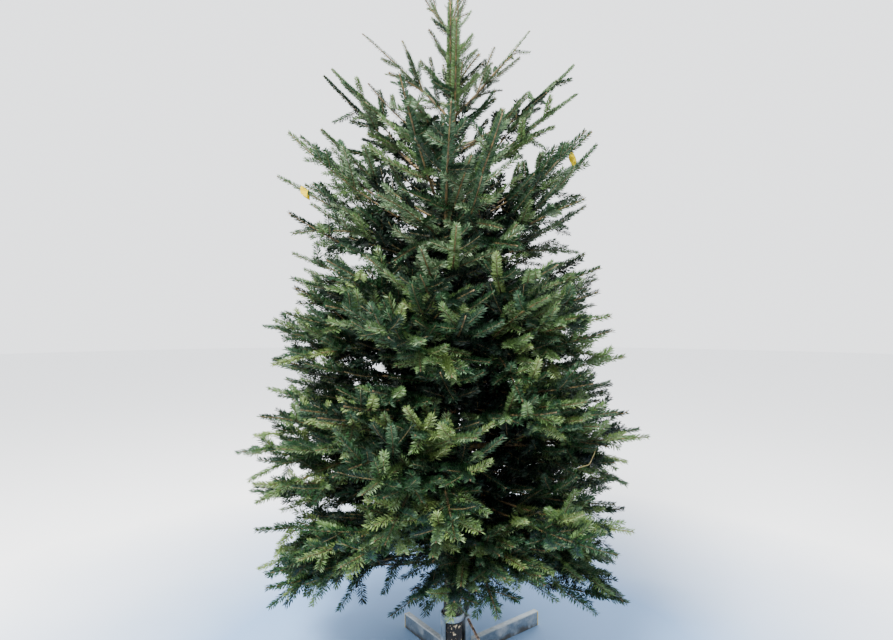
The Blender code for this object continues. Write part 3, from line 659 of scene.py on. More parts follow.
def make_mesh(name: str, points: np.ndarray, triangles: np.ndarray, materials: list,
              indices: np.ndarray | None = None, smooth: bool = True) -> bpy.types.Object:
    """Makes an object from arrays.

    Args:
        name: the object's and its mesh's name.
        points, triangles: its (n, 3) corners and its (m, 3) faces.
        materials, indices: its materials, and each triangle's material index.
        smooth: its shading.
    Returns:
        The linked object.
    """
    mesh = bpy.data.meshes.new(name)
    mesh.vertices.add(len(points))
    mesh.vertices.foreach_set("co", np.ascontiguousarray(points, np.float32).ravel())
    mesh.loops.add(3 * len(triangles))
    mesh.loops.foreach_set("vertex_index", np.ascontiguousarray(triangles, np.int32).ravel())
    mesh.polygons.add(len(triangles))
    mesh.polygons.foreach_set("loop_start", np.arange(0, 3 * len(triangles), 3, dtype=np.int32))
    for material in materials:
        mesh.materials.append(material)
    if indices is not None:
        mesh.polygons.foreach_set("material_index", np.ascontiguousarray(indices, np.int32))
    mesh.polygons.foreach_set("use_smooth", np.full(len(triangles), smooth))
    mesh.update(calc_edges=True)
    mesh.validate()
    return link_object(name, mesh)


def bridge(shape: bmesh.types.BMesh, rings: list[list]) -> None:
    """Skins a stack of rings of corners, from low to high, and closes both ends.

    Args:
        shape: what the faces are added to.
        rings: its corners, ring by ring.
    """
    for low, high in zip(rings, rings[1:]):
        for step in range(len(low)):
            after = (step + 1) % len(low)
            shape.faces.new((low[step], low[after], high[after], high[step]))
    shape.faces.new(list(reversed(rings[0])))
    shape.faces.new(rings[-1])


def distances(line: np.ndarray) -> np.ndarray:
    """How far along a line each of its points lies."""
    return np.concatenate([[0], np.cumsum(np.linalg.norm(np.diff(line, axis=0), axis=1))])


def follow(places: np.ndarray | float, along: np.ndarray, rows: np.ndarray) -> np.ndarray:
    """The rows' values at places along a line."""
    return np.stack([np.interp(places, along, rows[:, axis]) for axis in range(3)], -1)


def ring_turns(sides: int) -> np.ndarray:
    """The angles of the sides of a ring."""
    return np.arange(sides) * 2 * math.pi / sides


def ring_frames(line: np.ndarray) -> tuple[np.ndarray, np.ndarray, np.ndarray]:
    """Frames for the rings along a line.

    Args:
        line: its points.
    Returns:
        The heading, sideways and over directions at each point.
    """
    heading = np.gradient(line, axis=0)
    heading /= np.linalg.norm(heading, axis=1, keepdims=True)
    guide = np.array([0.0, 0.0, 1.0]) if abs(heading[:, 2]).mean() < 0.9 else np.array([1.0, 0.0, 0.0])
    aside = np.cross(heading, guide)
    aside /= np.linalg.norm(aside, axis=1, keepdims=True)
    return heading, aside, np.cross(aside, heading)


def ring_spokes(sides: int, aside: np.ndarray, over: np.ndarray) -> np.ndarray:
    """Unit directions from a line to the corners of its rings."""
    turns = ring_turns(sides)
    return np.cos(turns)[None, :, None] * over[:, None, :] + np.sin(turns)[None, :, None] * aside[:, None, :]


def tube(line: np.ndarray, radii: np.ndarray, sides: int,
         relief: np.ndarray | None = None) -> tuple[np.ndarray, np.ndarray]:
    """Builds a closed tapering tube with a low cone at each end.

    Args:
        line, radii: its centre line and the radius at each point.
        sides: the corners of each ring.
        relief: added to the radius, ring by ring.
    Returns:
        Points and triangles.
    """
    heading, aside, over = ring_frames(line)
    width = radii[:, None] * np.ones(sides) + (0 if relief is None else relief)
    points = (line[:, None, :] + ring_spokes(sides, aside, over) * width[:, :, None]).reshape(-1, 3)
    rings = len(line)
    here, following = np.arange(sides), (np.arange(sides) + 1) % sides
    low = (np.arange(rings - 1)[:, None] * sides + here[None, :]).ravel()
    after = (np.arange(rings - 1)[:, None] * sides + following[None, :]).ravel()
    sheet = np.concatenate([np.stack([low, low + sides, after], 1), np.stack([after, low + sides, after + sides], 1)])
    points = np.vstack([points, line[:1] - 0.2 * radii[0] * heading[:1], line[-1:] + 0.8 * radii[-1] * heading[-1:]])
    root = np.stack([here, following, np.full(sides, rings * sides)], 1)
    last = (rings - 1) * sides
    tip = np.stack([last + following, last + here, np.full(sides, rings * sides + 1)], 1)
    return points, np.concatenate([sheet, root, tip])


class Bundle:
    """Gathers bodies as arrays, to be joined into one mesh."""

    def __init__(self) -> None:
        """Starts empty."""
        self.points, self.triangles, self.indices = [], [], []
        self.count = 0

    def add(self, points: np.ndarray, triangles: np.ndarray, indices: np.ndarray | int = 0) -> None:
        """Adds one body.

        Args:
            points, triangles: its arrays.
            indices: its material index, or one for each triangle.
        """
        self.points.append(points)
        self.triangles.append(triangles + self.count)
        self.indices.append(np.zeros(len(triangles), int) + indices)
        self.count += len(points)

    def size(self) -> int:
        """The number of triangles so far."""
        return sum(len(triangles) for triangles in self.triangles)

    def make(self, name: str, materials: list, smooth: bool = True) -> bpy.types.Object:
        """The joined object."""
        return make_mesh(name, np.concatenate(self.points), np.concatenate(self.triangles), materials,
                         np.concatenate(self.indices), smooth)


def settle(piece: bpy.types.Object, slot: str, *nodes: str) -> None:
    """Rides a piece on the tree's body.

    Args:
        piece: the finished piece.
        slot: the name of a material slot; not used.
        nodes: the nodes it stands for.
    """
    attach(piece, BODY)
    if nodes:
        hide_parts(*nodes)
    LOG.info("%s: %d triangles, stands for %d nodes", piece.name, len(piece.data.polygons), len(nodes))


# ---------------------------------------------------------------- shoots


@dataclass
class Shoot:
    """One axis of wood: its line, radii, order in the branching, needle tone and needled length."""

    line: np.ndarray
    radii: np.ndarray
    order: int
    tone: Tone
    needled: float
    needle: float
    weight: float = 1.0
    inner: bool = False

    def length(self) -> float:
        """The length of the line."""
        return float(np.linalg.norm(np.diff(self.line, axis=0), axis=1).sum())


def arc(root: Vector, middle: Vector, tip: Vector, count: int) -> np.ndarray:
    """A smooth line through three points.

    Args:
        root, middle, tip: the three points.
        count: how many points the line has.
    Returns:
        The line.
    """
    control = 2 * middle - 0.5 * (root + tip)
    shares = np.linspace(0, 1, count)[:, None]
    return ((1 - shares) ** 2 * np.array(root) + 2 * shares * (1 - shares) * np.array(control)
            + shares ** 2 * np.array(tip))


def trim(line: np.ndarray, cut: float) -> np.ndarray:
    """Ends a line a little short, so that the last needles reach where it ended.

    Args:
        line: its points.
        cut: the length to take off, of half the line at most.
    Returns:
        The shorter line, with as many points.
    """
    along = distances(line)
    return follow(np.linspace(0, max(along[-1] - cut, 0.5 * along[-1]), len(line)), along, line)


@dataclass(frozen=True)
class Habit:
    """How shoots branch: sizes in metres, angles in degrees, one value for each order."""

    ratio: tuple = (0.76, 0.60)
    longest: tuple = (0.23, 0.14)
    shortest: float = 0.068
    year_share: tuple = (1.0, 0.8)
    angle: tuple = (42.0, 55.0)
    short_angle: float = 8.0
    cool_angle: float = 10.0
    flatness: float = 30.0
    between: float = 0.13
    between_length: tuple = (0.080, 0.130)
    tuck: float = 0.08
    ease: float = 0.055
    inner_share: float = 0.52
    low_inner_share: float = 0.25
    fine_share: float = 0.60
    inner_count: float = 0.50
    high_count: float = 2.3
    stem_count: float = 1.35
    bare_count: float = 0.55
    inner_needle: float = 1.3
    sizes: tuple = (1.0, 0.8, 0.62)
    slim: float = 0.62
    cool_slim: float = 0.76
    lift: tuple = (0.0, 0.34)
    low_lift: tuple = (-0.30, 0.12)
    cool_lift: tuple = (-0.08, 0.16)
    raised_lift: float = 0.12
    onward: float = 0.16
    stem_points: int = 26
    axis_points: int = 14
    axis_trim: float = 0.6
    twig_trim: float = 0.4
    thinning: float = 0.58
    fork_fan: float = 1.72
    fork_reach: tuple = (0.84, 0.98)
    fork_start: tuple = (0.0, 0.34)
    fork_thickness: float = 0.5
    tuck_height: float = 0.22
    bough_fan: float = 1.5
    bough_edges: tuple = (0.02, 0.97, 0.06)
    bough_sag: float = 0.03
    bough_radius: float = 0.0052
    bough_bare: float = 0.07
    first_node: tuple = (0.9, 1.1)
    next_node: tuple = (0.82, 1.12)
    node_size: tuple = (0.85, 1.12)
    pair_size: tuple = (0.8, 1.1)
    third_share: float = 0.4
    third_roll: tuple = (60.0, 95.0)
    third_size: float = 0.6
    between_roll: float = 80.0
    twig_tip: float = 0.0012
    twig_growth: float = 0.0070
    twig_bare: float = 0.025


class Grower:
    """Grows the shoots of one limb by the source's axes, then by pairs of laterals year by year."""

    def __init__(self, limb: Limb, habit: Habit) -> None:
        """Starts with no shoots.

        Args:
            limb: the limb.
            habit: how it branches.
        """
        self.limb, self.habit = limb, habit
        self.draw = random.Random(f"{SEED} shoots {limb.name}")
        self.shoots: list[Shoot] = []
        height = limb.tier.height
        self.lowest = limb.tier is TIERS[0]
        self.cool = height > COOL_HEIGHT
        self.slim = habit.slim if height > SLIM_HEIGHT else habit.cool_slim if self.cool else 1.0
        self.weight = 1.0 if height < SLIM_HEIGHT else habit.high_count
        self.stem_count = habit.bare_count if height > CROWN_HEIGHT else habit.stem_count
        # The low front limb's lesser axes stay up, clear of the stand's collar.
        self.front = self.lowest and math.sin(math.radians(limb.azimuth)) < -0.7

    def tone(self, reach_share: float) -> Tone:
        """Deals a needle tone to a spray: dark inside, where the dark is partly older needles and partly painted
        shade, fresh at the ends, cool and grey at the top.

        Args:
            reach_share: how far out it grows.
        Returns:
            The tone.
        """
        roll = self.draw.random()
        if self.cool:
            choice = COOL_OUTSIDE if reach_share > 0.45 else COOL_INSIDE
        else:
            choice = LOW_TIPS if reach_share > 0.62 else LOW_MIDDLE if reach_share > 0.4 else LOW_INSIDE
        total = 0.0
        for tone, weight in choice:
            total += weight
            if roll < total:
                return tone
        return choice[-1][0]

    def reach_share(self, point: Vector) -> float:
        """How far out a point is, as a share of the limb's reach."""
        base = trunk_centre(self.limb.tier.height)
        return math.hypot(point.x - base.x, point.y - base.y) / self.limb.reach

    def add(self, line: np.ndarray, radii: np.ndarray, order: int, tone: Tone, needled: float) -> None:
        """Keeps one shoot; one that lies well inside the crown bears fewer and broader needles, and its laterals take
        the near-black inner tone, painted shade.

        Args:
            line, radii: its centre line and the radius at each point.
            order: 0 for the stem and the forks.
            tone: its needles' tone.
            needled: the length that bears needles, from the tip back.
        """
        habit, tier = self.habit, self.limb.tier
        inside = self.reach_share(Vector(line[-1])) < (habit.low_inner_share if self.lowest else habit.inner_share)
        if inside and tier.height < CROWN_HEIGHT:
            self.shoots.append(Shoot(line, radii, order, Tone.INNER if order else tone, needled,
                                     tier.needle * habit.inner_needle, habit.inner_count, True))
        else:
            weight = self.weight * (1.0 if order else self.stem_count)
            self.shoots.append(Shoot(line, radii, order, tone, needled, tier.needle, weight))

    def main_axes(self) -> None:
        """The stem and the forks on the source's own lines, then finer axes that fill the cell."""
        habit, limb, tier = self.habit, self.limb, self.limb.tier
        shares = np.linspace(0.0, 1.0, habit.stem_points)
        stem = trim(np.array([limb.point(float(share)) for share in shares]), habit.axis_trim * tier.needle)
        # The solid stands for shoot and needles together, so the wood thins towards the tip.
        radii = np.array([limb.radius(float(share)) * (1 - habit.thinning * share ** 1.5) for share in shares])
        self.add(stem, radii, 0, self.tone(0.8), 0.42 * limb.reach + 0.10)
        self.branch(stem, 0, tier.year, 0.4 * tier.bare_share * limb.reach + 0.03)
        for start, turn, reach_share, lift in tier.forks:
            self.side_axis(start, limb.fork_tip(turn, reach_share, lift), FORK_ROOT_SHARE)
        self.fill_forks(tier.filling[0])
        self.fill_boughs(tier.filling[1])

    def side_axis(self, start: float, tip: Vector, thickness: float) -> None:
        """Adds an axis that leaves the stem and bows to its own tip, where the tip fits in the cell.

        Args:
            start: where it leaves, as a share of the stem past its bare foot.
            tip: its tip.
            thickness: its root's radius as a share of the stem's.
        """
        limb, tier = self.limb, self.limb.tier
        root_share = tier.bare_share + (1 - tier.bare_share) * start
        root = limb.point(root_share)
        middle = root.lerp(tip, 0.5) + Vector((0, 0, FORK_BOW * limb.reach))
        if limb.holds(tip, 0.01):
            self.bow_axis(root, middle, tip, thickness * limb.radius(root_share), 0.05)

    def bow_axis(self, root: Vector, middle: Vector, tip: Vector, thick: float, bare: float) -> None:
        """Adds a bowed, tapering axis with its laterals.

        Args:
            root, middle, tip: the points it passes through.
            thick: its root's radius.
            bare: the length at its root without laterals.
        """
        limb, tier = self.limb, self.limb.tier
        count = self.habit.axis_points
        line = trim(arc(root, middle, tip, count), self.habit.axis_trim * tier.needle)
        end = 0.62 * AXIS_TIP_RADIUS
        radii = end + (thick - end) * (1 - np.linspace(0, 1, count)) ** LIMB_TAPER
        self.add(line, radii, 0, self.tone(0.8), 0.55 * limb.reach)
        self.branch(line, 0, tier.year, bare)

    def height_at(self, distance: float, share: float) -> float:
        """A height in the limb's cell: 0 at its floor and 1 at its roof."""
        low, high = roof_height(self.limb.floor, distance), roof_height(self.limb.tier.roof, distance)
        return low + (high - low) * share

    def raised(self, share: float) -> float:
        """A share of the cell's height, kept up where the limb stands over the stand's collar."""
        return 0.32 + 0.68 * share if self.front else share

    def fill_forks(self, count: int) -> None:
        """Adds finer forks from the stem, spread evenly over the cell's width and height.

        Args:
            count: how many are tried.
        """
        habit, limb, draw = self.habit, self.limb, self.draw
        for number in range(count):
            turn = habit.fork_fan * ((number + draw.uniform(0.2, 0.8)) / count - 0.5)
            share = self.raised(0.02 + 0.96 * ((number * 0.618 + draw.uniform(-0.06, 0.06)) % 1.0))
            reach_share = draw.uniform(*habit.fork_reach)
            level = limb.point(reach_share).z
            height = self.height_at(limb.reach * reach_share, share)
            reach_share *= 1.0 - habit.tuck * min(1.0, abs(height - level) / habit.tuck_height)
            tip = limb.fork_tip(turn, reach_share, 0.0)
            tip.z = self.height_at(limb.reach * reach_share, share)
            self.side_axis(draw.uniform(*habit.fork_start), tip, habit.fork_thickness)

    def fill_boughs(self, count: int) -> None:
        """Adds lesser boughs from the trunk between the whorls, the first three along the cell's floor and roof.

        Args:
            count: how many are tried.
        """
        habit, limb, draw = self.habit, self.limb, self.draw
        edges = habit.bough_edges
        for number in range(count):
            turn = habit.bough_fan * ((number + draw.uniform(0.25, 0.75)) / count - 0.5)
            azimuth = limb.azimuth + turn * limb.half_sector
            share = 0.05 + 0.90 * ((number * 0.382 + draw.uniform(-0.04, 0.04)) % 1.0)
            if number < len(edges):
                share = edges[number] + draw.uniform(0.0, 0.02)
            share = self.raised(share)
            root = trunk_centre(self.height_at(0.0, share))
            root += 0.8 * trunk_radius(root.z) * outward(azimuth)
            reach = limb.reach * draw.uniform(0.86 if number < len(edges) else 0.76, 0.97)
            tip = Vector((root.x, root.y, 0)) + reach * outward(azimuth)
            tip.z = self.height_at(reach, share)
            middle = root.lerp(tip, 0.5)
            middle.z = self.height_at(0.5 * reach, share) - habit.bough_sag
            if limb.holds(tip, 0.03):
                self.bow_axis(root, middle, tip, habit.bough_radius, habit.bough_bare)

    def branch(self, line: np.ndarray, order: int, year: float, bare: float) -> None:
        """Adds pairs of laterals at each year's node, and short shoots between the nodes.

        Args:
            line: the axis they grow from.
            order: the axis's order.
            year: a year's growth.
            bare: the length at its root without laterals.
        """
        habit, draw = self.habit, self.draw
        if order >= len(habit.ratio):
            return
        along = distances(line)
        length = float(along[-1])
        node = year * draw.uniform(*habit.first_node)
        nodes = []
        while length - node > bare:
            nodes.append(node)
            node += year * draw.uniform(*habit.next_node)
        for from_tip in nodes:
            size = habit.ratio[order] * self.slim * from_tip * draw.uniform(*habit.node_size)
            size = min(size, habit.longest[order])
            for side in (1, -1):
                self.lateral(line, along, length - from_tip, side, size * draw.uniform(*habit.pair_size), order, year)
            if order == 0 and draw.random() < habit.third_share:
                roll = draw.choice((-1, 1)) * draw.uniform(*habit.third_roll)
                self.lateral(line, along, length - from_tip, 1, habit.third_size * size, order, year, roll)
        place = bare
        while order < 1 and length - place > 0.6 * year:
            place += habit.between * draw.uniform(0.7, 1.3)
            size = min(draw.uniform(*habit.between_length), 0.8 * (length - place))
            if size > habit.shortest:
                roll = draw.uniform(-habit.between_roll, habit.between_roll)
                self.lateral(line, along, place, draw.choice((-1, 1)), size, order, year, roll, True)

    def lateral(self, line: np.ndarray, along: np.ndarray, place: float, side: int, size: float,
                order: int, year: float, roll: float | None = None, short: bool = False) -> None:
        """Adds one lateral where it fits in the limb's cell, shortened if need be, with its own laterals.

        Args:
            line, along: the axis it grows from, and how far along it each point lies.
            place, side: where along the axis, and to which side.
            size: its full length.
            order, year: the axis's order and its year's growth.
            roll: its turn out of the flat in degrees, or None for one near the flat.
            short: whether it has no laterals of its own.
        """
        habit, draw = self.habit, self.draw
        if size < habit.shortest:
            return
        start, ahead, back = (Vector(follow(place + step, along, line)) for step in (0, 0.01, -0.01))
        forward = (ahead - back).normalized()
        aside = forward.cross(UP)
        aside = (aside if aside.length > 0.15 else forward.cross(Vector((1, 0, 0)))).normalized() * side
        over = UP - forward.z * forward
        over = over.normalized() if over.length > 0.05 else forward.cross(aside).normalized()
        turn = math.radians(draw.uniform(-habit.flatness, habit.flatness) if roll is None else roll)
        angle = draw.uniform(*habit.angle) + (habit.short_angle if short else 0)
        angle = math.radians(angle + (habit.cool_angle if self.cool else 0))
        out = math.cos(turn) * aside + math.sin(turn) * over
        heading = math.cos(angle) * forward + math.sin(angle) * out
        lift = draw.uniform(*(habit.low_lift if self.lowest else habit.lift))
        if self.cool:
            lift = draw.uniform(*habit.cool_lift)
        if self.front:
            lift += habit.raised_lift
        bend = habit.onward * forward + lift * UP
        for share in habit.sizes:
            reach = size * share
            middle = start + reach * (0.5 * heading + 0.25 * bend)
            tip = start + reach * (heading + bend)
            if (self.limb.holds(middle, habit.ease) and self.limb.holds(tip, habit.ease)
                    and self.reach_share(tip) < 1.0):
                break
        else:
            return
        count = 5 if order == 0 else 4
        twig = trim(arc(start, middle, tip, count), habit.twig_trim * self.limb.tier.needle)
        radii = np.linspace(habit.twig_tip + habit.twig_growth * reach, habit.twig_tip, count)
        self.add(twig, radii, order + 1, self.tone(self.reach_share(tip)), WHOLE)
        if not short and self.reach_share(tip) > habit.fine_share:
            self.branch(twig, order + 1, year * habit.year_share[order], habit.twig_bare)

    def grow(self) -> list[Shoot]:
        """Every shoot of the limb."""
        self.main_axes()
        return self.shoots


@dataclass(frozen=True)
class LeaderHabit:
    """The leader, the shoots of its foot's whorl (azimuth, reach, rise) and the short ones round it."""

    whorl: tuple = ((140.0, 0.100, 0.145), (222.0, 0.125, 0.105), (318.0, 0.115, 0.150), (38.0, 0.120, 0.125))
    whorl_sag: float = 0.022
    bud_room: float = 0.012
    short_count: int = 9
    first_azimuth: float = 20.0
    first_share: float = 0.04
    share_step: float = 0.072

    def grow(self) -> list[Shoot]:
        """Grows the tree's top.

        Returns:
            Its shoots, the leader first.
        """
        draw = random.Random(f"{SEED} leader")
        base = trunk_centre(TRUNK_TOP)
        tip = base + Vector((LEADER_LEAN, 0, LEADER_LENGTH - self.bud_room))
        line = np.array([base.lerp(tip, share) for share in np.linspace(0, 1, 10)])
        shoots = [Shoot(line, np.linspace(TOP_RADIUS, 0.0022, 10), 0, Tone.COOL, WHOLE, 0.017)]
        root = trunk_centre(TIERS[-1].height)
        for azimuth, reach, rise in self.whorl:
            end = root + reach * outward(azimuth) + Vector((0, 0, rise))
            middle = root.lerp(end, 0.5) - Vector((0, 0, self.whorl_sag))
            radii = np.linspace(0.0030, 0.0018, 7)
            shoots.append(Shoot(arc(root, middle, end, 7), radii, 1, Tone.GREY, WHOLE, 0.0185, 1.8))
        for number in range(self.short_count):
            start = base.lerp(tip, self.first_share + self.share_step * number)
            heading = (outward(self.first_azimuth + GOLDEN_TURN * number) * 0.62 + UP).normalized()
            reach = draw.uniform(0.045, 0.062) * (1 - 0.05 * number)
            side = np.array([start + heading * reach * step for step in TWIG_STEPS])
            shoots.append(Shoot(side, np.linspace(0.0017, 0.0010, 4), 2, Tone.GREY, WHOLE, 0.016))
        return shoots


@dataclass(frozen=True)
class StemHabit:
    """The shoots that grow from the trunk between its whorls, with laterals of their own low down."""

    first_height: float = 0.48
    low_height: float = 1.8
    sparse_height: float = 2.1
    inner_height: float = 0.62
    far_every: int = 3
    far_places: tuple = (0.35, 0.45, 0.55, 0.65, 0.75, 0.85, 0.95)
    near_places: tuple = (0.35, 0.5, 0.7, 0.85)
    low_weight: float = 0.75

    def grow(self) -> list[Shoot]:
        """Grows shoots up the trunk, every third one low down reaching far.

        Returns:
            The shoots.
        """
        draw = random.Random(f"{SEED} stem shoots")
        shoots, height, number = [], self.first_height, 0
        while height < TRUNK_TOP - 0.03:
            share = (height - self.first_height) / (TRUNK_TOP - self.first_height)
            low = height < self.low_height
            far = low and number % self.far_every == 0
            azimuth = GOLDEN_TURN * number + draw.uniform(-20, 20)
            longest = 0.62 - 0.32 * share if far else 0.36 - 0.25 * share if low else 0.24 - 0.18 * share
            reach = draw.uniform(0.88, 1.12) * longest
            centre = trunk_centre(height)
            heading = outward(azimuth) + Vector((0, 0, draw.uniform(*((0.0, 0.25) if far else (0.1, 0.5)))))
            if not low:
                heading.z = draw.uniform(0.45, 0.9)
            heading.normalize()
            tip = centre + heading * reach
            line = arc(centre, centre.lerp(tip, 0.5) - Vector((0, 0, 0.004)), tip, 7)
            # Low down, deep inside the crown, the stem shoots take the near-black inner tone: painted shade.
            tone = Tone.INNER if low else draw.choice((Tone.DEEP, Tone.MIDDLE, Tone.COOL))
            weight = self.low_weight if low else 1.0
            shoots.append(Shoot(line, np.linspace(0.0042 if far else 0.0030, 0.0012, 7), 1, tone, 0.8 * reach,
                                0.030 - 0.010 * share, weight, low and height > self.inner_height))
            places = (self.far_places if far else self.near_places) if low else ()
            for count, place in enumerate(places):
                turn = (50 if count % 2 else -50) + draw.uniform(-8, 8)
                side = (outward(azimuth + turn) + Vector((0, 0, draw.uniform(-0.4, 0.5)))).normalized()
                start = centre + heading * reach * place
                twig = np.array([start + side * draw.uniform(0.09, 0.13) * step for step in TWIG_STEPS])
                shoots.append(Shoot(twig, np.linspace(0.0016, 0.0010, 4), 2, tone, WHOLE, 0.030, weight,
                                    height > self.inner_height))
            spacing = (0.008, 0.014) if low else (0.025, 0.04) if height < self.sparse_height else (0.05, 0.07)
            height += draw.uniform(*spacing)
            number += 1
        return shoots


# ---------------------------------------------------------------- needles


@dataclass(frozen=True)
class NeedleHabit:
    """Needle sizes in metres or as shares of the needle, angles in degrees from the shoot."""

    width_share: float = 0.21
    keel_share: float = 0.42
    shoulder: float = 0.56
    droop: float = 0.05
    base_angle: float = 64.0
    tip_angle: float = 42.0
    angle_jitter: float = 5.0
    upper_tuck: float = 8.0
    roll_jitter: float = 14.0
    below: float = 128.0
    upright: float = 0.85
    inner_width: float = 1.7
    face_up: float = 0.6
    face_out: float = 0.35
    face_back: float = 0.25
    face_jitter: float = 0.42
    turned_share: float = 0.45
    spacing: tuple = (0.2, 0.8)
    shortest: float = 0.84
    swell: float = 0.18
    size_jitter: tuple = (0.92, 1.06)
    end_share: float = 0.95
    end_size: float = 0.9
    slim_heights: tuple = (2.20, 2.45, 2.75)
    slim_shares: tuple = (1.0, 0.84, 0.76)
    total: int = 640000


class NeedleMaker:
    """Sets needles along shoots: each is a leaf of two faces folded along its rib, some turned pale side up."""

    def __init__(self, habit: NeedleHabit, per_metre: float) -> None:
        """Starts the needles' draws.

        Args:
            habit: the needles' sizes and angles.
            per_metre: how many a shoot of plain weight bears.
        """
        self.habit, self.per_metre = habit, per_metre
        self.draw = np.random.default_rng(SEED)

    def clothe(self, shoot: Shoot) -> tuple[np.ndarray, np.ndarray, np.ndarray]:
        """Sets the needles of one shoot.

        Args:
            shoot: the shoot.
        Returns:
            Points, triangles and each triangle's side, 0 dark and 1 pale.
        """
        habit, draw = self.habit, self.draw
        along = distances(shoot.line)
        length = along[-1]
        start = max(0.0, length - shoot.needled)
        per_metre = self.per_metre * shoot.weight
        count = max(4, int(round((length - start) * per_metre)))
        share = (np.arange(count) + draw.uniform(*habit.spacing, count)) / count
        place = start + (length - start) * share
        at = follow(place, along, shoot.line)
        thick = np.interp(place, along, shoot.radii)
        ahead, side, upper = (follow(place, along, rows) for rows in ring_frames(shoot.line))
        # Round the shoot in golden turns; a level shoot bears none straight below it.
        roll = (np.arange(count) * GOLDEN_TURN + draw.uniform(-1, 1, count) * habit.roll_jitter + 180) % 360 - 180
        if abs(ahead[:, 2]).mean() < habit.upright:
            roll = roll * habit.below / 180
        turn = np.radians(roll)
        radial = np.cos(turn)[:, None] * upper + np.sin(turn)[:, None] * side
        spread = habit.base_angle + (habit.tip_angle - habit.base_angle) * share ** 1.5
        spread = np.radians(spread + draw.uniform(-1, 1, count) * habit.angle_jitter
                            - habit.upper_tuck * np.cos(turn))
        way = np.cos(spread)[:, None] * ahead + np.sin(spread)[:, None] * radial
        size = shoot.needle * (habit.shortest + habit.swell * np.sin(math.pi * share ** 0.8))
        size *= draw.uniform(*habit.size_jitter, count)
        size *= np.where(share > habit.end_share, habit.end_size, 1.0)
        size *= np.interp(at[:, 2], habit.slim_heights, habit.slim_shares)
        # The face looks up and outwards, with a wide spread, so that the sprays don't shine as one sheet.
        reference = np.array([0, 0, habit.face_up]) + habit.face_out * radial - habit.face_back * ahead
        reference += draw.normal(0, habit.face_jitter, (count, 3))
        face = reference - (reference * way).sum(1, keepdims=True) * way
        face /= np.linalg.norm(face, axis=1, keepdims=True)
        across = np.cross(way, face)
        root = at + radial * (0.7 * thick)[:, None]
        wide = habit.width_share * (habit.inner_width if shoot.inner else 1.0)
        half = (wide * size / 2)[:, None]
        shoulder = root + habit.shoulder * size[:, None] * way - habit.keel_share * half * face
        tip = root + size[:, None] * way - (habit.droop * size)[:, None] * np.array([0, 0, 1])
        points = np.stack([root, shoulder - half * across, shoulder + half * across, tip], 1).reshape(-1, 3)
        pattern = np.array([[0, 2, 3], [0, 3, 1]])
        triangles = (4 * np.arange(count)[:, None, None] + pattern[None]).reshape(-1, 3)
        turned = draw.random(count) < habit.turned_share * (0.6 - 0.4 * np.cos(turn)) * (0.5 + 1.5 * share ** 2)
        return points, triangles, np.repeat(turned.astype(int), 2)


# ---------------------------------------------------------------- the tree

LEFT_LABEL_LIMB, RIGHT_LABEL_LIMB = "high_1", "high_3"
LEFT_LABEL_REACH, RIGHT_LABEL_REACH = 0.622, 0.53
RIGHT_LABEL_SHIFT = Vector((0.002, -0.060, 0.024))
RIGHT_LABEL_MIDDLE = Vector((-0.004, 0, 0.040))
LEFT_LABEL_ROOM, RIGHT_LABEL_ROOM = 0.030, 0.042


def perch(limbs: list[Limb], name: str, reach: float) -> Vector:
    """Finds where a label sits on a limb.

    Args:
        limbs, name: every limb, and the name of the one wanted.
        reach: the level distance from the trunk.
    Returns:
        The point of the limb's axis.
    """
    limb = next(limb for limb in limbs if limb.name == name)
    return limb.point(min((abs(reach - limb.reach * step / 200), step / 200) for step in range(201))[1])


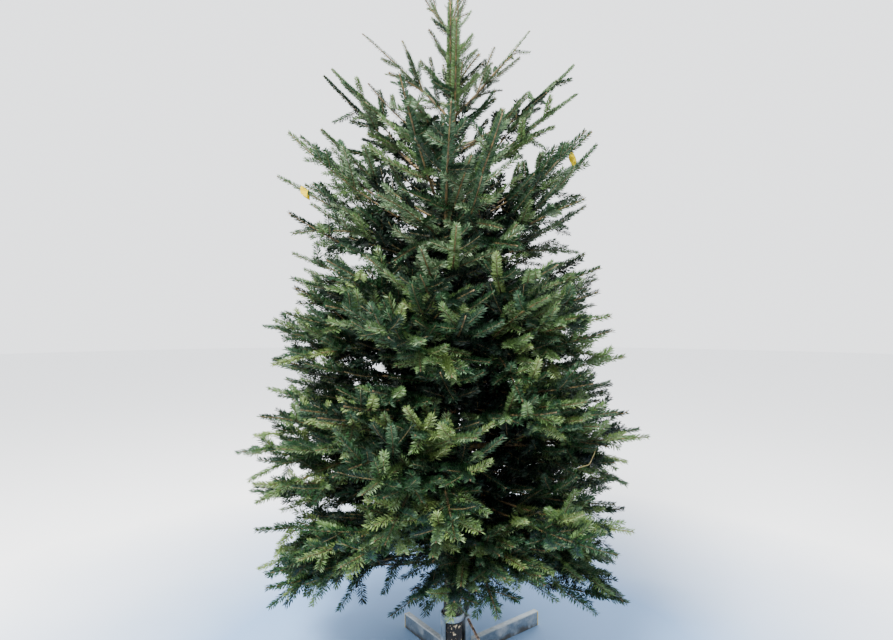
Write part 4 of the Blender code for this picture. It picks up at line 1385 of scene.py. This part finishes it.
@dataclass
class TreeTop:
    """Everything that grows: bark, twigs, needles and buds."""

    habit: Habit = field(default_factory=Habit)
    needles: NeedleHabit = field(default_factory=NeedleHabit)
    limbs: list[Limb] = field(default_factory=list_limbs)
    piece_limit: int = 190000
    trunk_sides: int = 56
    trunk_step: float = 0.009
    bark_waves: int = 26
    relief_heights: tuple = (0.07, 0.5, 1.6, 2.8)
    relief_depths: tuple = (0.0042, 0.0030, 0.0016, 0.0006)
    relief_scale: float = 2.2
    wood: TwigFinish = TwigFinish("limb_bark", (0.024, 0.017, 0.007), (0.068, 0.045, 0.014), (0.130, 0.088, 0.028))
    young: TwigFinish = TwigFinish("twig_bark", (0.026, 0.020, 0.006), (0.055, 0.042, 0.012), (0.095, 0.072, 0.022))
    scales: TwigFinish = TwigFinish("bud_scales", (0.045, 0.026, 0.010), (0.090, 0.052, 0.020), (0.140, 0.090, 0.040))
    dry: TwigFinish = TwigFinish("dry_bark", (0.070, 0.055, 0.016), (0.125, 0.100, 0.034), (0.170, 0.140, 0.060))
    dry_place: Triple = (0.500, -0.625, 0.995)
    dry_bends: tuple = ((0, 0, 0), (-0.008, -0.010, -0.016), (-0.018, -0.014, -0.034), (-0.026, -0.016, -0.050),
                        (-0.032, -0.017, -0.055), (-0.050, -0.016, -0.060), (-0.066, -0.014, -0.066))
    bud_rings: tuple = ((0.0, 0.0012), (0.0022, 0.0023), (0.0060, 0.0003))

    def build(self) -> None:
        """Grows the shoots and makes every piece of the crown."""
        grown = {limb.name: self.clear_of_labels(Grower(limb, self.habit).grow()) for limb in self.limbs}
        grown["leader"] = LeaderHabit().grow()
        stem = StemHabit().grow()
        shoots = [shoot for own in grown.values() for shoot in own] + stem
        grown["leader"] = grown["leader"] + stem
        lengths = [min(shoot.length(), shoot.needled) for shoot in shoots]
        per_metre = self.needles.total / sum(length * shoot.weight for length, shoot in zip(lengths, shoots))
        LOG.info("%d shoots, %.0f m bear needles, %.0f needles a metre", len(shoots), sum(lengths), per_metre)
        bark, wood, young = BarkFinish().build(), self.wood.build(), self.young.build()
        self.make_trunk(bark)
        self.make_limbs([shoot for shoot in shoots if not shoot.order], wood)
        self.make_twigs([shoot for shoot in shoots if shoot.order], young)
        self.make_needles(grown, per_metre)
        self.make_buds(shoots)
        self.make_dry_twig(shoots)

    def clear_of_labels(self, shoots: list[Shoot]) -> list[Shoot]:
        """Leaves out the side shoots that hang in front of a label.

        Args:
            shoots: a limb's shoots.
        Returns:
            Those that stay.
        """
        right = perch(self.limbs, RIGHT_LABEL_LIMB, RIGHT_LABEL_REACH) + RIGHT_LABEL_SHIFT + RIGHT_LABEL_MIDDLE
        spots = ((perch(self.limbs, LEFT_LABEL_LIMB, LEFT_LABEL_REACH), LEFT_LABEL_ROOM), (right, RIGHT_LABEL_ROOM))
        kept = []
        for shoot in shoots:
            hides = False
            for spot, room in spots:
                gap = shoot.line - np.array(spot)
                close = (abs(gap[:, 0]) < room) & (abs(gap[:, 2]) < room + 0.015) & (abs(gap[:, 1] + 0.10) < 0.12)
                hides = hides or bool(close.any())
            if shoot.order == 0 or not hides:
                kept.append(shoot)
        return kept

    def make_trunk(self, bark: bpy.types.Material) -> None:
        """Makes the trunk with its bark's relief, its whorl collars and its cut foot.

        Args:
            bark: its finish.
        """
        heights = np.arange(FOOT_HEIGHT, TRUNK_TOP + 0.004, self.trunk_step)
        heights[-1] = TRUNK_TOP
        line = np.array([trunk_centre(float(height)) for height in heights])
        radii = np.array([trunk_radius(float(height)) for height in heights])
        turns = ring_turns(self.trunk_sides)
        relief = np.zeros((len(heights), self.trunk_sides))
        draw = np.random.default_rng(SEED + 1)
        for number in range(self.bark_waves):
            wave, rise = draw.integers(2, 15), draw.uniform(20, 150)
            phase, lean = draw.uniform(0, 2 * math.pi), draw.uniform(-1, 1)
            wave_sum = wave * turns[None, :] + rise * heights[:, None] * lean + phase
            relief += np.sin(wave_sum) * np.sin(rise * heights[:, None] + 3 * number) / self.bark_waves
        coarse = np.interp(heights, self.relief_heights, self.relief_depths)
        relief = relief * coarse[:, None] * self.relief_scale
        _, aside, over = ring_frames(line)
        surface = line[:, None, :] + ring_spokes(self.trunk_sides, aside, over) * radii[:, None, None]
        for limb in self.limbs:
            size = limb.tier.root_radius
            near = np.linalg.norm(surface - np.array(limb.point(0.0)), axis=2) / (2.4 * size)
            relief += 0.30 * size * np.exp(-near ** 2 * 1.6)
        points, triangles = tube(line, radii, self.trunk_sides, relief)
        settle(make_mesh("trunk_bark", points, triangles, [bark]), "bark", "trunk")

    def make_limbs(self, axes: list[Shoot], wood: bpy.types.Material) -> None:
        """Makes the limbs and forks, tapering whole from the trunk to their tips.

        Args:
            axes: the shoots of order 0.
            wood: their finish.
        """
        bundle = Bundle()
        draw = np.random.default_rng(SEED + 2)
        for shoot in axes:
            sides = 8 if len(shoot.line) > 20 else 6
            relief = draw.normal(0, 1, (len(shoot.line), sides)) * shoot.radii[:, None] * 0.045
            bundle.add(*tube(shoot.line, shoot.radii, sides, relief))
        boughs = [f"bough_{limb.name}" for limb in self.limbs if limb.tier.bare_share > 0]
        settle(bundle.make("limb_bark", [wood]), "bark", *boughs)

    def make_twigs(self, twigs: list[Shoot], young: bpy.types.Material) -> None:
        """Makes the laterals, in pieces of limited size.

        Args:
            twigs: the shoots of order 1 and up.
            young: their finish.
        """
        bundle, made = Bundle(), 1
        for shoot in twigs:
            bundle.add(*tube(shoot.line, shoot.radii, 3))
            if bundle.size() > self.piece_limit:
                settle(bundle.make(f"twigs_{made}", [young]), "bark")
                bundle, made = Bundle(), made + 1
        settle(bundle.make(f"twigs_{made}", [young]), "bark")

    def make_dry_twig(self, shoots: list[Shoot]) -> None:
        """Makes a bare dry twig, bent over, on the right of the front.

        Args:
            shoots: every shoot; the twig hangs from the nearest.
        """
        bends = np.array(self.dry_bends)
        points = np.concatenate([shoot.line for shoot in shoots])
        gaps = np.linalg.norm((points - np.array(self.dry_place)) * (1.0, 0.5, 1.0), axis=1)
        surface, triangles = tube(points[np.argmin(gaps)] + bends, np.linspace(0.0009, 0.0014, len(bends)), 6)
        settle(make_mesh("dry_twig", surface, triangles, [self.dry.build()]), "bark")

    def make_needles(self, grown: dict[str, list[Shoot]], per_metre: float) -> None:
        """Makes the needles, each piece standing for the masses whose space it fills.

        Args:
            grown: the shoots of each mass.
            per_metre: how many needles a shoot of plain weight bears.
        """
        materials = [material for tone in Tone for material in tone.build()]
        first = {tone: 2 * number for number, tone in enumerate(Tone)}
        maker = NeedleMaker(self.needles, per_metre)
        bundle, nodes, made = Bundle(), [], 1
        for name, shoots in grown.items():
            clothed = [(*maker.clothe(shoot), first[shoot.tone]) for shoot in shoots]
            own = sum(len(triangles) for _, triangles, _, _ in clothed)
            if nodes and bundle.size() + own > self.piece_limit:
                settle(bundle.make(f"needles_{made}", materials, False), "needles", *nodes)
                bundle, nodes, made = Bundle(), [], made + 1
            for points, triangles, sides, tone in clothed:
                bundle.add(points, triangles, sides + tone)
            nodes.append(f"foliage_{name}")
        settle(bundle.make(f"needles_{made}", materials, False), "needles", *nodes)

    def make_buds(self, shoots: list[Shoot]) -> None:
        """Makes a resinous bud at the end of each larger shoot, instanced on the tips and realised.

        Args:
            shoots: every shoot.
        """
        tips, ways, sizes = [], [], []
        for shoot in shoots:
            if not shoot.inner and (shoot.order == 0 or shoot.order == 1 and shoot.length() > 0.15):
                way = shoot.line[-1] - shoot.line[-2]
                tips.append(shoot.line[-1])
                ways.append(way / np.linalg.norm(way))
                high = shoot.line[-1][2] > SLIM_HEIGHT
                sizes.append((1.25 if shoot.order == 0 else 0.85) * (1.3 if high else 1.0))
        finish = self.scales.build()
        settle(Repeater("buds", self.bud_shape(), finish).make(tips, ways, sizes), "bark")

    def bud_shape(self) -> bpy.types.Object:
        """Shapes three pointed ovoid buds, the middle one larger, standing up Z.

        Returns:
            The shape.
        """
        shape = bmesh.new()
        for angle, size, lean in ((0, 1.0, 0), (90, 0.75, 38), (270, 0.75, 38)):
            turn = Matrix.Rotation(math.radians(angle), 4, "Z") @ Matrix.Rotation(math.radians(lean), 4, "Y")
            rings = []
            for height, radius in self.bud_rings:
                ring = [Vector((radius * math.cos(spoke), radius * math.sin(spoke), height)) * size
                        for spoke in ring_turns(4)]
                rings.append([shape.verts.new(turn @ point) for point in ring])
            bridge(shape, rings)
        return mesh_object("bud_shape", shape)


class Repeater:
    """Sets one shape on many places with Geometry Nodes, realised into one mesh."""

    NODES = {"start": "NodeGroupInput", "end": "NodeGroupOutput", "info": "GeometryNodeObjectInfo",
             "setter": "GeometryNodeInstanceOnPoints", "realise": "GeometryNodeRealizeInstances",
             "paint": "GeometryNodeSetMaterial", "way": "GeometryNodeInputNamedAttribute",
             "align": "FunctionNodeAlignRotationToVector", "size": "GeometryNodeInputNamedAttribute"}
    LINKS = (("start", "Places", "setter", "Points"), ("start", "Shape", "info", "Object"),
             ("info", "Geometry", "setter", "Instance"), ("way", "Attribute", "align", "Vector"),
             ("align", "Rotation", "setter", "Rotation"), ("size", "Attribute", "setter", "Scale"),
             ("setter", "Instances", "realise", "Geometry"), ("realise", "Geometry", "paint", "Geometry"),
             ("start", "Finish", "paint", "Material"), ("paint", "Geometry", "end", "Result"))
    SOCKETS = (("Places", "INPUT", "Geometry"), ("Shape", "INPUT", "Object"), ("Finish", "INPUT", "Material"),
               ("Result", "OUTPUT", "Geometry"))

    def __init__(self, name: str, shape: bpy.types.Object, finish: bpy.types.Material) -> None:
        """Takes what is repeated.

        Args:
            name: the finished piece's name.
            shape, finish: what is repeated, and its material.
        """
        self.name, self.shape, self.finish = name, shape, finish

    def group(self) -> bpy.types.NodeTree:
        """Builds the node group.

        Returns:
            The group, with the shape and the finish as inputs.
        """
        tree = bpy.data.node_groups.new(f"{self.name}_repeat", "GeometryNodeTree")
        for name, side, kind in self.SOCKETS:
            tree.interface.new_socket(name, in_out=side, socket_type=f"NodeSocket{kind}")
        nodes = {name: tree.nodes.new(kind) for name, kind in self.NODES.items()}
        nodes["way"].data_type, nodes["size"].data_type = "FLOAT_VECTOR", "FLOAT"
        for name in ("way", "size"):
            nodes[name].inputs["Name"].default_value = name
        nodes["align"].axis = "Z"
        for source, output, target, socket in self.LINKS:
            tree.links.new(nodes[source].outputs[output], nodes[target].inputs[socket])
        return tree

    def make(self, places: list, ways: list, sizes: list) -> bpy.types.Object:
        """Repeats the shape.

        Args:
            places, ways: where each copy stands, and the unit direction of its Z.
            sizes: the scale of each.
        Returns:
            The realised piece.
        """
        mesh = bpy.data.meshes.new(f"{self.name}_places")
        mesh.from_pydata([tuple(place) for place in places], [], [])
        way = mesh.attributes.new("way", "FLOAT_VECTOR", "POINT")
        way.data.foreach_set("vector", np.array(ways, np.float32).ravel())
        size = mesh.attributes.new("size", "FLOAT", "POINT")
        size.data.foreach_set("value", np.array(sizes, np.float32))
        carrier = link_object(f"{self.name}_places", mesh)
        modifier = carrier.modifiers.new("repeat", "NODES")
        modifier.node_group = self.group()
        sockets = {item.name: item.identifier for item in modifier.node_group.interface.items_tree
                   if item.in_out == "INPUT"}
        modifier[sockets["Shape"]] = self.shape
        modifier[sockets["Finish"]] = self.finish
        graph = bpy.context.evaluated_depsgraph_get()
        made = bpy.data.meshes.new_from_object(carrier.evaluated_get(graph))
        made.name = self.name
        piece = link_object(self.name, made)
        carrier.modifiers.clear()
        bpy.data.objects.remove(carrier, do_unlink=True)
        bpy.data.objects.remove(self.shape, do_unlink=True)
        return piece


# ---------------------------------------------------------------- stand


@dataclass
class Stand:
    """The galvanised cross stand: finishes for its bars, and its smaller fittings as detailed meshes."""

    turn: float = 37.0
    bar_height: float = 0.070
    bar_width: float = 0.030
    long_arm: float = 0.515
    short_arm: float = 0.357
    cap_depth: float = 0.0053
    upright_top: float = 0.195
    upright_face: float = 0.0612
    upright_half: float = 0.035
    upright_span: tuple = (0.0462, 0.0762)
    strap_span: tuple = (-0.0552, -0.0472)
    brace_foot: float = 0.305
    brace_radius: float = 0.0065
    brace_drop: float = 0.012
    brace_rings: int = 230
    brace_sides: int = 16
    rib_step: float = 0.0085
    screw_sides: int = 16
    screw_rings: tuple = ((0.0046, -0.0006), (0.0050, 0.0006), (0.0042, 0.0020), (0.0026, 0.0027))
    bead_radius: float = 0.0026
    bead_step: float = 0.0028
    knob_offset: tuple = (0.0675, -0.014)
    knob_sides: int = 48
    knob_rings: tuple = ((0.0055, 0.0003), (0.0055, 0.0195), (0.0100, 0.0202), (0.0128, 0.0225), (0.0138, 0.0262),
                         (0.0138, 0.0440), (0.0130, 0.0478), (0.0108, 0.0500), (0.0080, 0.0502))
    cap: PlasticFinish = PlasticFinish("cap_plastic", (0.72, 0.50, 0.03), (0.55, 0.36, 0.02), 0.42)
    knob: PlasticFinish = PlasticFinish("knob_plastic", (0.012, 0.012, 0.013), (0.03, 0.03, 0.031), 0.45)
    screw: PlasticFinish = PlasticFinish("screw_black", (0.016, 0.016, 0.018), (0.05, 0.048, 0.045), 0.38)

    def build(self) -> None:
        """Finishes the stand's nodes and makes its fittings."""
        steel, rust = SteelFinish().build(), RustFinish().build()
        yellow, black = self.cap.build(), self.knob.build()
        for name in ("cross_bar_long", "cross_arm_back", "cross_arm_front", "upright", "collar"):
            self.finish(name, steel)
        for name in ("end_cap_right", "end_cap_left", "end_cap_back", "end_cap_front"):
            self.finish(name, yellow)
        self.make_brace(rust)
        self.make_knob(black)
        self.make_screws(self.screw.build())
        self.make_welds(steel)

    @staticmethod
    def finish(name: str, material: bpy.types.Material) -> None:
        """Gives a CAD node its finish.

        Args:
            name: the node.
            material: the finish.
        """
        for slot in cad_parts[name].material_slots:
            slot.material = material
        LOG.info("%s finished with %s", name, material.name)

    def place(self, along: float, across: float, height: float = 0.0) -> Vector:
        """A point given along the long bar, across it and up."""
        return Matrix.Rotation(math.radians(self.turn), 3, "Z") @ Vector((along, across, height))

    def make_brace(self, rust: bpy.types.Material) -> None:
        """Makes the ribbed bar that props the upright against the front arm.

        Args:
            rust: its finish.
        """
        top = self.place(self.upright_face, -self.upright_half, self.upright_top - self.brace_drop)
        foot = self.place(0.0, -self.brace_foot, self.bar_height)
        line = np.array([foot.lerp(top, share) for share in np.linspace(0, 1, self.brace_rings)])
        turns = ring_turns(self.brace_sides)
        along = np.linspace(0, (top - foot).length, self.brace_rings)[:, None]
        phase = 2 * math.pi * along / self.rib_step + 2.0 * np.abs(turns - math.pi)[None, :]
        ribs = np.clip(np.sin(phase) - 0.45, 0, 1)
        keels = np.exp(-((np.abs(np.cos(turns)) - 1) / 0.03) ** 2)[None, :]
        relief = -0.0007 + 0.0011 * np.maximum(ribs, keels)
        points, triangles = tube(line, np.full(self.brace_rings, self.brace_radius), self.brace_sides, relief)
        settle(make_mesh("brace_ribbed", points, triangles, [rust]), "rusty_steel", "brace")

    def make_screws(self, black: bpy.types.Material) -> None:
        """Makes a pan-head screw with a cross recess in the middle of each end cap.

        Args:
            black: their finish.
        """
        places, ways = [], []
        for reach, turn in ((self.long_arm, 0), (self.short_arm, 90), (self.long_arm, 180), (self.short_arm, 270)):
            way = Matrix.Rotation(math.radians(turn), 3, "Z") @ self.place(1.0, 0.0)
            places.append(way * (reach + self.cap_depth) + Vector((0, 0, self.bar_height / 2)))
            ways.append(way)
        shape = bmesh.new()
        sides = self.screw_sides
        rings = [[(radius, height)] * sides for radius, height in self.screw_rings]
        rings.append([(0.0020 if step % 4 == 0 else 0.0008, 0.0012) for step in range(sides)])
        spokes = [Matrix.Rotation(2 * math.pi * step / sides, 3, "Z") for step in range(sides)]
        bridge(shape, [[shape.verts.new(spoke @ Vector((radius, 0, height))) for spoke, (radius, height)
                        in zip(spokes, ring)] for ring in rings])
        maker = Repeater("cap_screws", mesh_object("screw_shape", shape), black)
        settle(maker.make(places, ways, [1.0] * len(places)), "black_plastic")

    def weld_runs(self) -> list[tuple[Vector, Vector]]:
        """Lists the welds: where the short arms butt the long bar, and under the upright and the strap.

        Returns:
            Each weld's start and end, along the long bar, across it and up.
        """
        half, top = self.bar_width / 2, self.bar_height
        runs = []
        for side in (1, -1):
            across = side * half
            runs += [(Vector((edge, across, 0.004)), Vector((edge, across, top - 0.004))) for edge in (half, -half)]
            runs.append((Vector((-half, across, top)), Vector((half, across, top))))
            inner = side * min(half, 0.0125)
            for start, end in (self.upright_span, self.strap_span):
                runs.append((Vector((start, inner, top)), Vector((end, inner, top))))
        return runs

    def make_welds(self, steel: bpy.types.Material) -> None:
        """Makes the beads of the welds.

        Args:
            steel: their finish.
        """
        draw = random.Random(f"{SEED} welds")
        places, ways, sizes = [], [], []
        for start, end in self.weld_runs():
            count = max(2, int((end - start).length / self.bead_step))
            for number in range(count):
                spot = start.lerp(end, (number + 0.5) / count)
                places.append(self.place(*spot) + Vector([draw.uniform(-0.0003, 0.0003) for _ in range(3)]))
                ways.append(self.place(0.2 * (end - start).z, spot.y, 0.25 * self.bar_width).normalized())
                sizes.append(draw.uniform(0.85, 1.1))
        shape = bmesh.new()
        bmesh.ops.create_icosphere(shape, subdivisions=1, radius=self.bead_radius)
        for vertex in shape.verts:
            vertex.co.z *= 0.75
        maker = Repeater("weld_beads", mesh_object("weld_shape", shape), steel)
        settle(maker.make(places, ways, sizes), "galvanised_steel")

    def make_knob(self, black: bpy.types.Material) -> None:
        """Makes the clamp screw's lobed grip on its neck.

        Args:
            black: its finish.
        """
        foot = self.place(*self.knob_offset, self.upright_top)
        line = np.array([foot + Vector((0, 0, height)) for _, height in self.knob_rings])
        radii = np.array([radius for radius, _ in self.knob_rings])
        lobes = -0.0009 + 0.0009 * np.cos(6 * ring_turns(self.knob_sides))
        relief = np.where(radii > 0.009, 1.0, 0.0)[:, None] * lobes[None, :]
        points, triangles = tube(line, radii, self.knob_sides, relief)
        settle(make_mesh("knob_grip", points, triangles, [black]), "black_plastic", "clamp_knob")


# ---------------------------------------------------------------- tags


@dataclass
class Tags:
    """Two blank yellow labels on twigs, the left one folded over its twig."""

    limbs: list[Limb]
    thickness: float = 0.0006
    width: float = 0.036
    drop: float = 0.042
    leaf_length: float = 0.078
    leaf_halves: tuple = ((0.0, 0.003), (0.10, 0.015), (0.34, 0.024), (0.55, 0.019), (0.80, 0.010), (1.0, 0.001))
    paper: PlasticFinish = PlasticFinish("label_yellow", (0.36, 0.27, 0.0), (0.27, 0.17, 0.0), 0.8, 500.0, 0.08)
    olive: PlasticFinish = PlasticFinish("label_mustard", (0.21, 0.165, 0.0), (0.075, 0.052, 0.0), 0.8, 500.0, 0.08)

    def build(self) -> None:
        """Makes both labels."""
        paper, olive = self.paper.build(), self.olive.build()
        self.sheet("tag_left", self.fold(), paper)
        self.sheet("tag_right", self.leaf(), olive)

    def sheet(self, name: str, rows: list[list[Vector]], material: bpy.types.Material) -> None:
        """Makes a thin closed sheet through rows of points.

        Args:
            name: the piece's name.
            rows: its points.
            material: its finish.
        """
        shape = bmesh.new()
        grid = [[shape.verts.new(point) for point in row] for row in rows]
        for first, second in zip(grid, grid[1:]):
            for index in range(len(first) - 1):
                shape.faces.new((first[index], first[index + 1], second[index + 1], second[index]))
        obj = mesh_object(name, shape)
        obj.data.materials.append(material)
        solid = obj.modifiers.new("thickness", "SOLIDIFY")
        solid.thickness, solid.offset = self.thickness, 0.0
        smooth = obj.modifiers.new("smooth", "SUBSURF")
        smooth.levels = smooth.render_levels = 1
        graph = bpy.context.evaluated_depsgraph_get()
        final = bpy.data.meshes.new_from_object(obj.evaluated_get(graph))
        obj.modifiers.clear()
        obj.data = final
        final.shade_smooth()
        settle(obj, "yellow_plastic")

    def fold(self) -> list[list[Vector]]:
        """Shapes a square label folded over the twig, both halves hanging and curling apart.

        Returns:
            Its rows of points.
        """
        middle, before, after = (perch(self.limbs, LEFT_LABEL_LIMB, LEFT_LABEL_REACH + step)
                                 for step in (0, -0.02, 0.02))
        along = (after - before).normalized()
        across = along.cross(UP).normalized()
        rows = []
        for step in range(-6, 7):
            share = step / 6
            out = 0.022 * math.copysign(min(1.0, abs(share) * 2.2), share) + 0.004 * share * abs(share)
            down = 0.018 - self.drop * abs(share) ** 1.15
            row = []
            for place in range(6):
                slide = self.width * (place / 5 - 0.5)
                wave = 0.002 * math.sin(place * 1.3 + step * 0.7)
                row.append(middle + along * slide + across * (out + wave) + Vector((0, 0, down + 0.1 * slide)))
            rows.append(row)
        return rows

    def leaf(self) -> list[list[Vector]]:
        """Shapes a long label with a point, creased down its middle, rising from its foot near the twig.

        Returns:
            Its rows of points.
        """
        foot = perch(self.limbs, RIGHT_LABEL_LIMB, RIGHT_LABEL_REACH) + RIGHT_LABEL_SHIFT
        way = Vector((-0.20, -0.10, 1.0)).normalized()
        across = Vector((0.86, 0.50, 0.12)).normalized()
        over = way.cross(across).normalized()
        return [[foot + way * self.leaf_length * share + across * half * place
                 + over * (0.006 * (1 - abs(place)) + 0.004 * share) for place in (-1.0, -0.5, 0.0, 0.5, 1.0)]
                for share, half in self.leaf_halves]


# ---------------------------------------------------------------- studio


@dataclass
class Studio:
    """Floor, soft lights and the camera. A light: name, place, aim, power, size, colour."""

    lens: float = 22.98
    sensor: float = 36.0
    eye: Triple = (-0.026, -2.5, 1.5)
    surround: tuple = (0.93, 0.95, 0.98, 1.0)
    strength: float = 2.5
    floor_radius: float = 30.0
    lights: tuple = (("key", (-1.6, -3.2, 5.0), (0, 0, 1.4), 1500.0, 1.6, (1.0, 0.98, 0.94)),
                     ("fill", (3.4, -1.8, 2.6), (0, 0, 1.3), 50.0, 3.0, (0.90, 0.95, 1.0)),
                     ("rim", (0.6, 3.4, 4.0), (0, 0, 1.8), 110.0, 3.0, (0.95, 0.98, 1.0)))

    def build(self) -> None:
        """Makes the stage, the lights and the camera."""
        self.make_floor()
        self.make_world()
        for light in self.lights:
            self.make_light(*light)
        data = bpy.data.cameras.new("camera")
        data.lens, data.sensor_width = self.lens, self.sensor
        data.clip_start, data.clip_end = 0.05, 60.0
        camera = link_object("camera", data)
        camera.location = self.eye
        camera.rotation_euler = (math.pi / 2, 0, 0)
        bpy.context.scene.camera = camera

    def make_floor(self) -> None:
        """Makes a wide round floor at the foot of the stand."""
        shape = bmesh.new()
        bmesh.ops.create_circle(shape, cap_ends=True, radius=self.floor_radius, segments=96)
        floor = mesh_object("floor", shape)
        floor.data.materials.append(FloorFinish().build())

    def make_world(self) -> None:
        """Makes an even pale surround."""
        world = bpy.data.worlds.new("surround")
        world.use_nodes = True
        background = world.node_tree.nodes["Background"]
        background.inputs["Color"].default_value = self.surround
        background.inputs["Strength"].default_value = self.strength
        bpy.context.scene.world = world

    @staticmethod
    def make_light(name: str, place: Triple, aim: Triple, power: float, size: float, colour: Triple) -> None:
        """Makes one square area light.

        Args:
            name: its name.
            place, aim: where it stands, and the point it faces.
            power, size, colour: its strength in watts, its side and its tint.
        """
        data = bpy.data.lights.new(name, "AREA")
        data.energy, data.size, data.color = power, size, colour
        light = link_object(name, data)
        light.location = place
        light.rotation_euler = (Vector(aim) - Vector(place)).to_track_quat("-Z", "Y").to_euler()


def main() -> None:
    """Dresses the tree and its stand, and sets the studio."""
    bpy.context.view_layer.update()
    top = TreeTop()
    top.build()
    Stand().build()
    Tags(top.limbs).build()
    Studio().build()


if __name__ == "__main__":
    main()
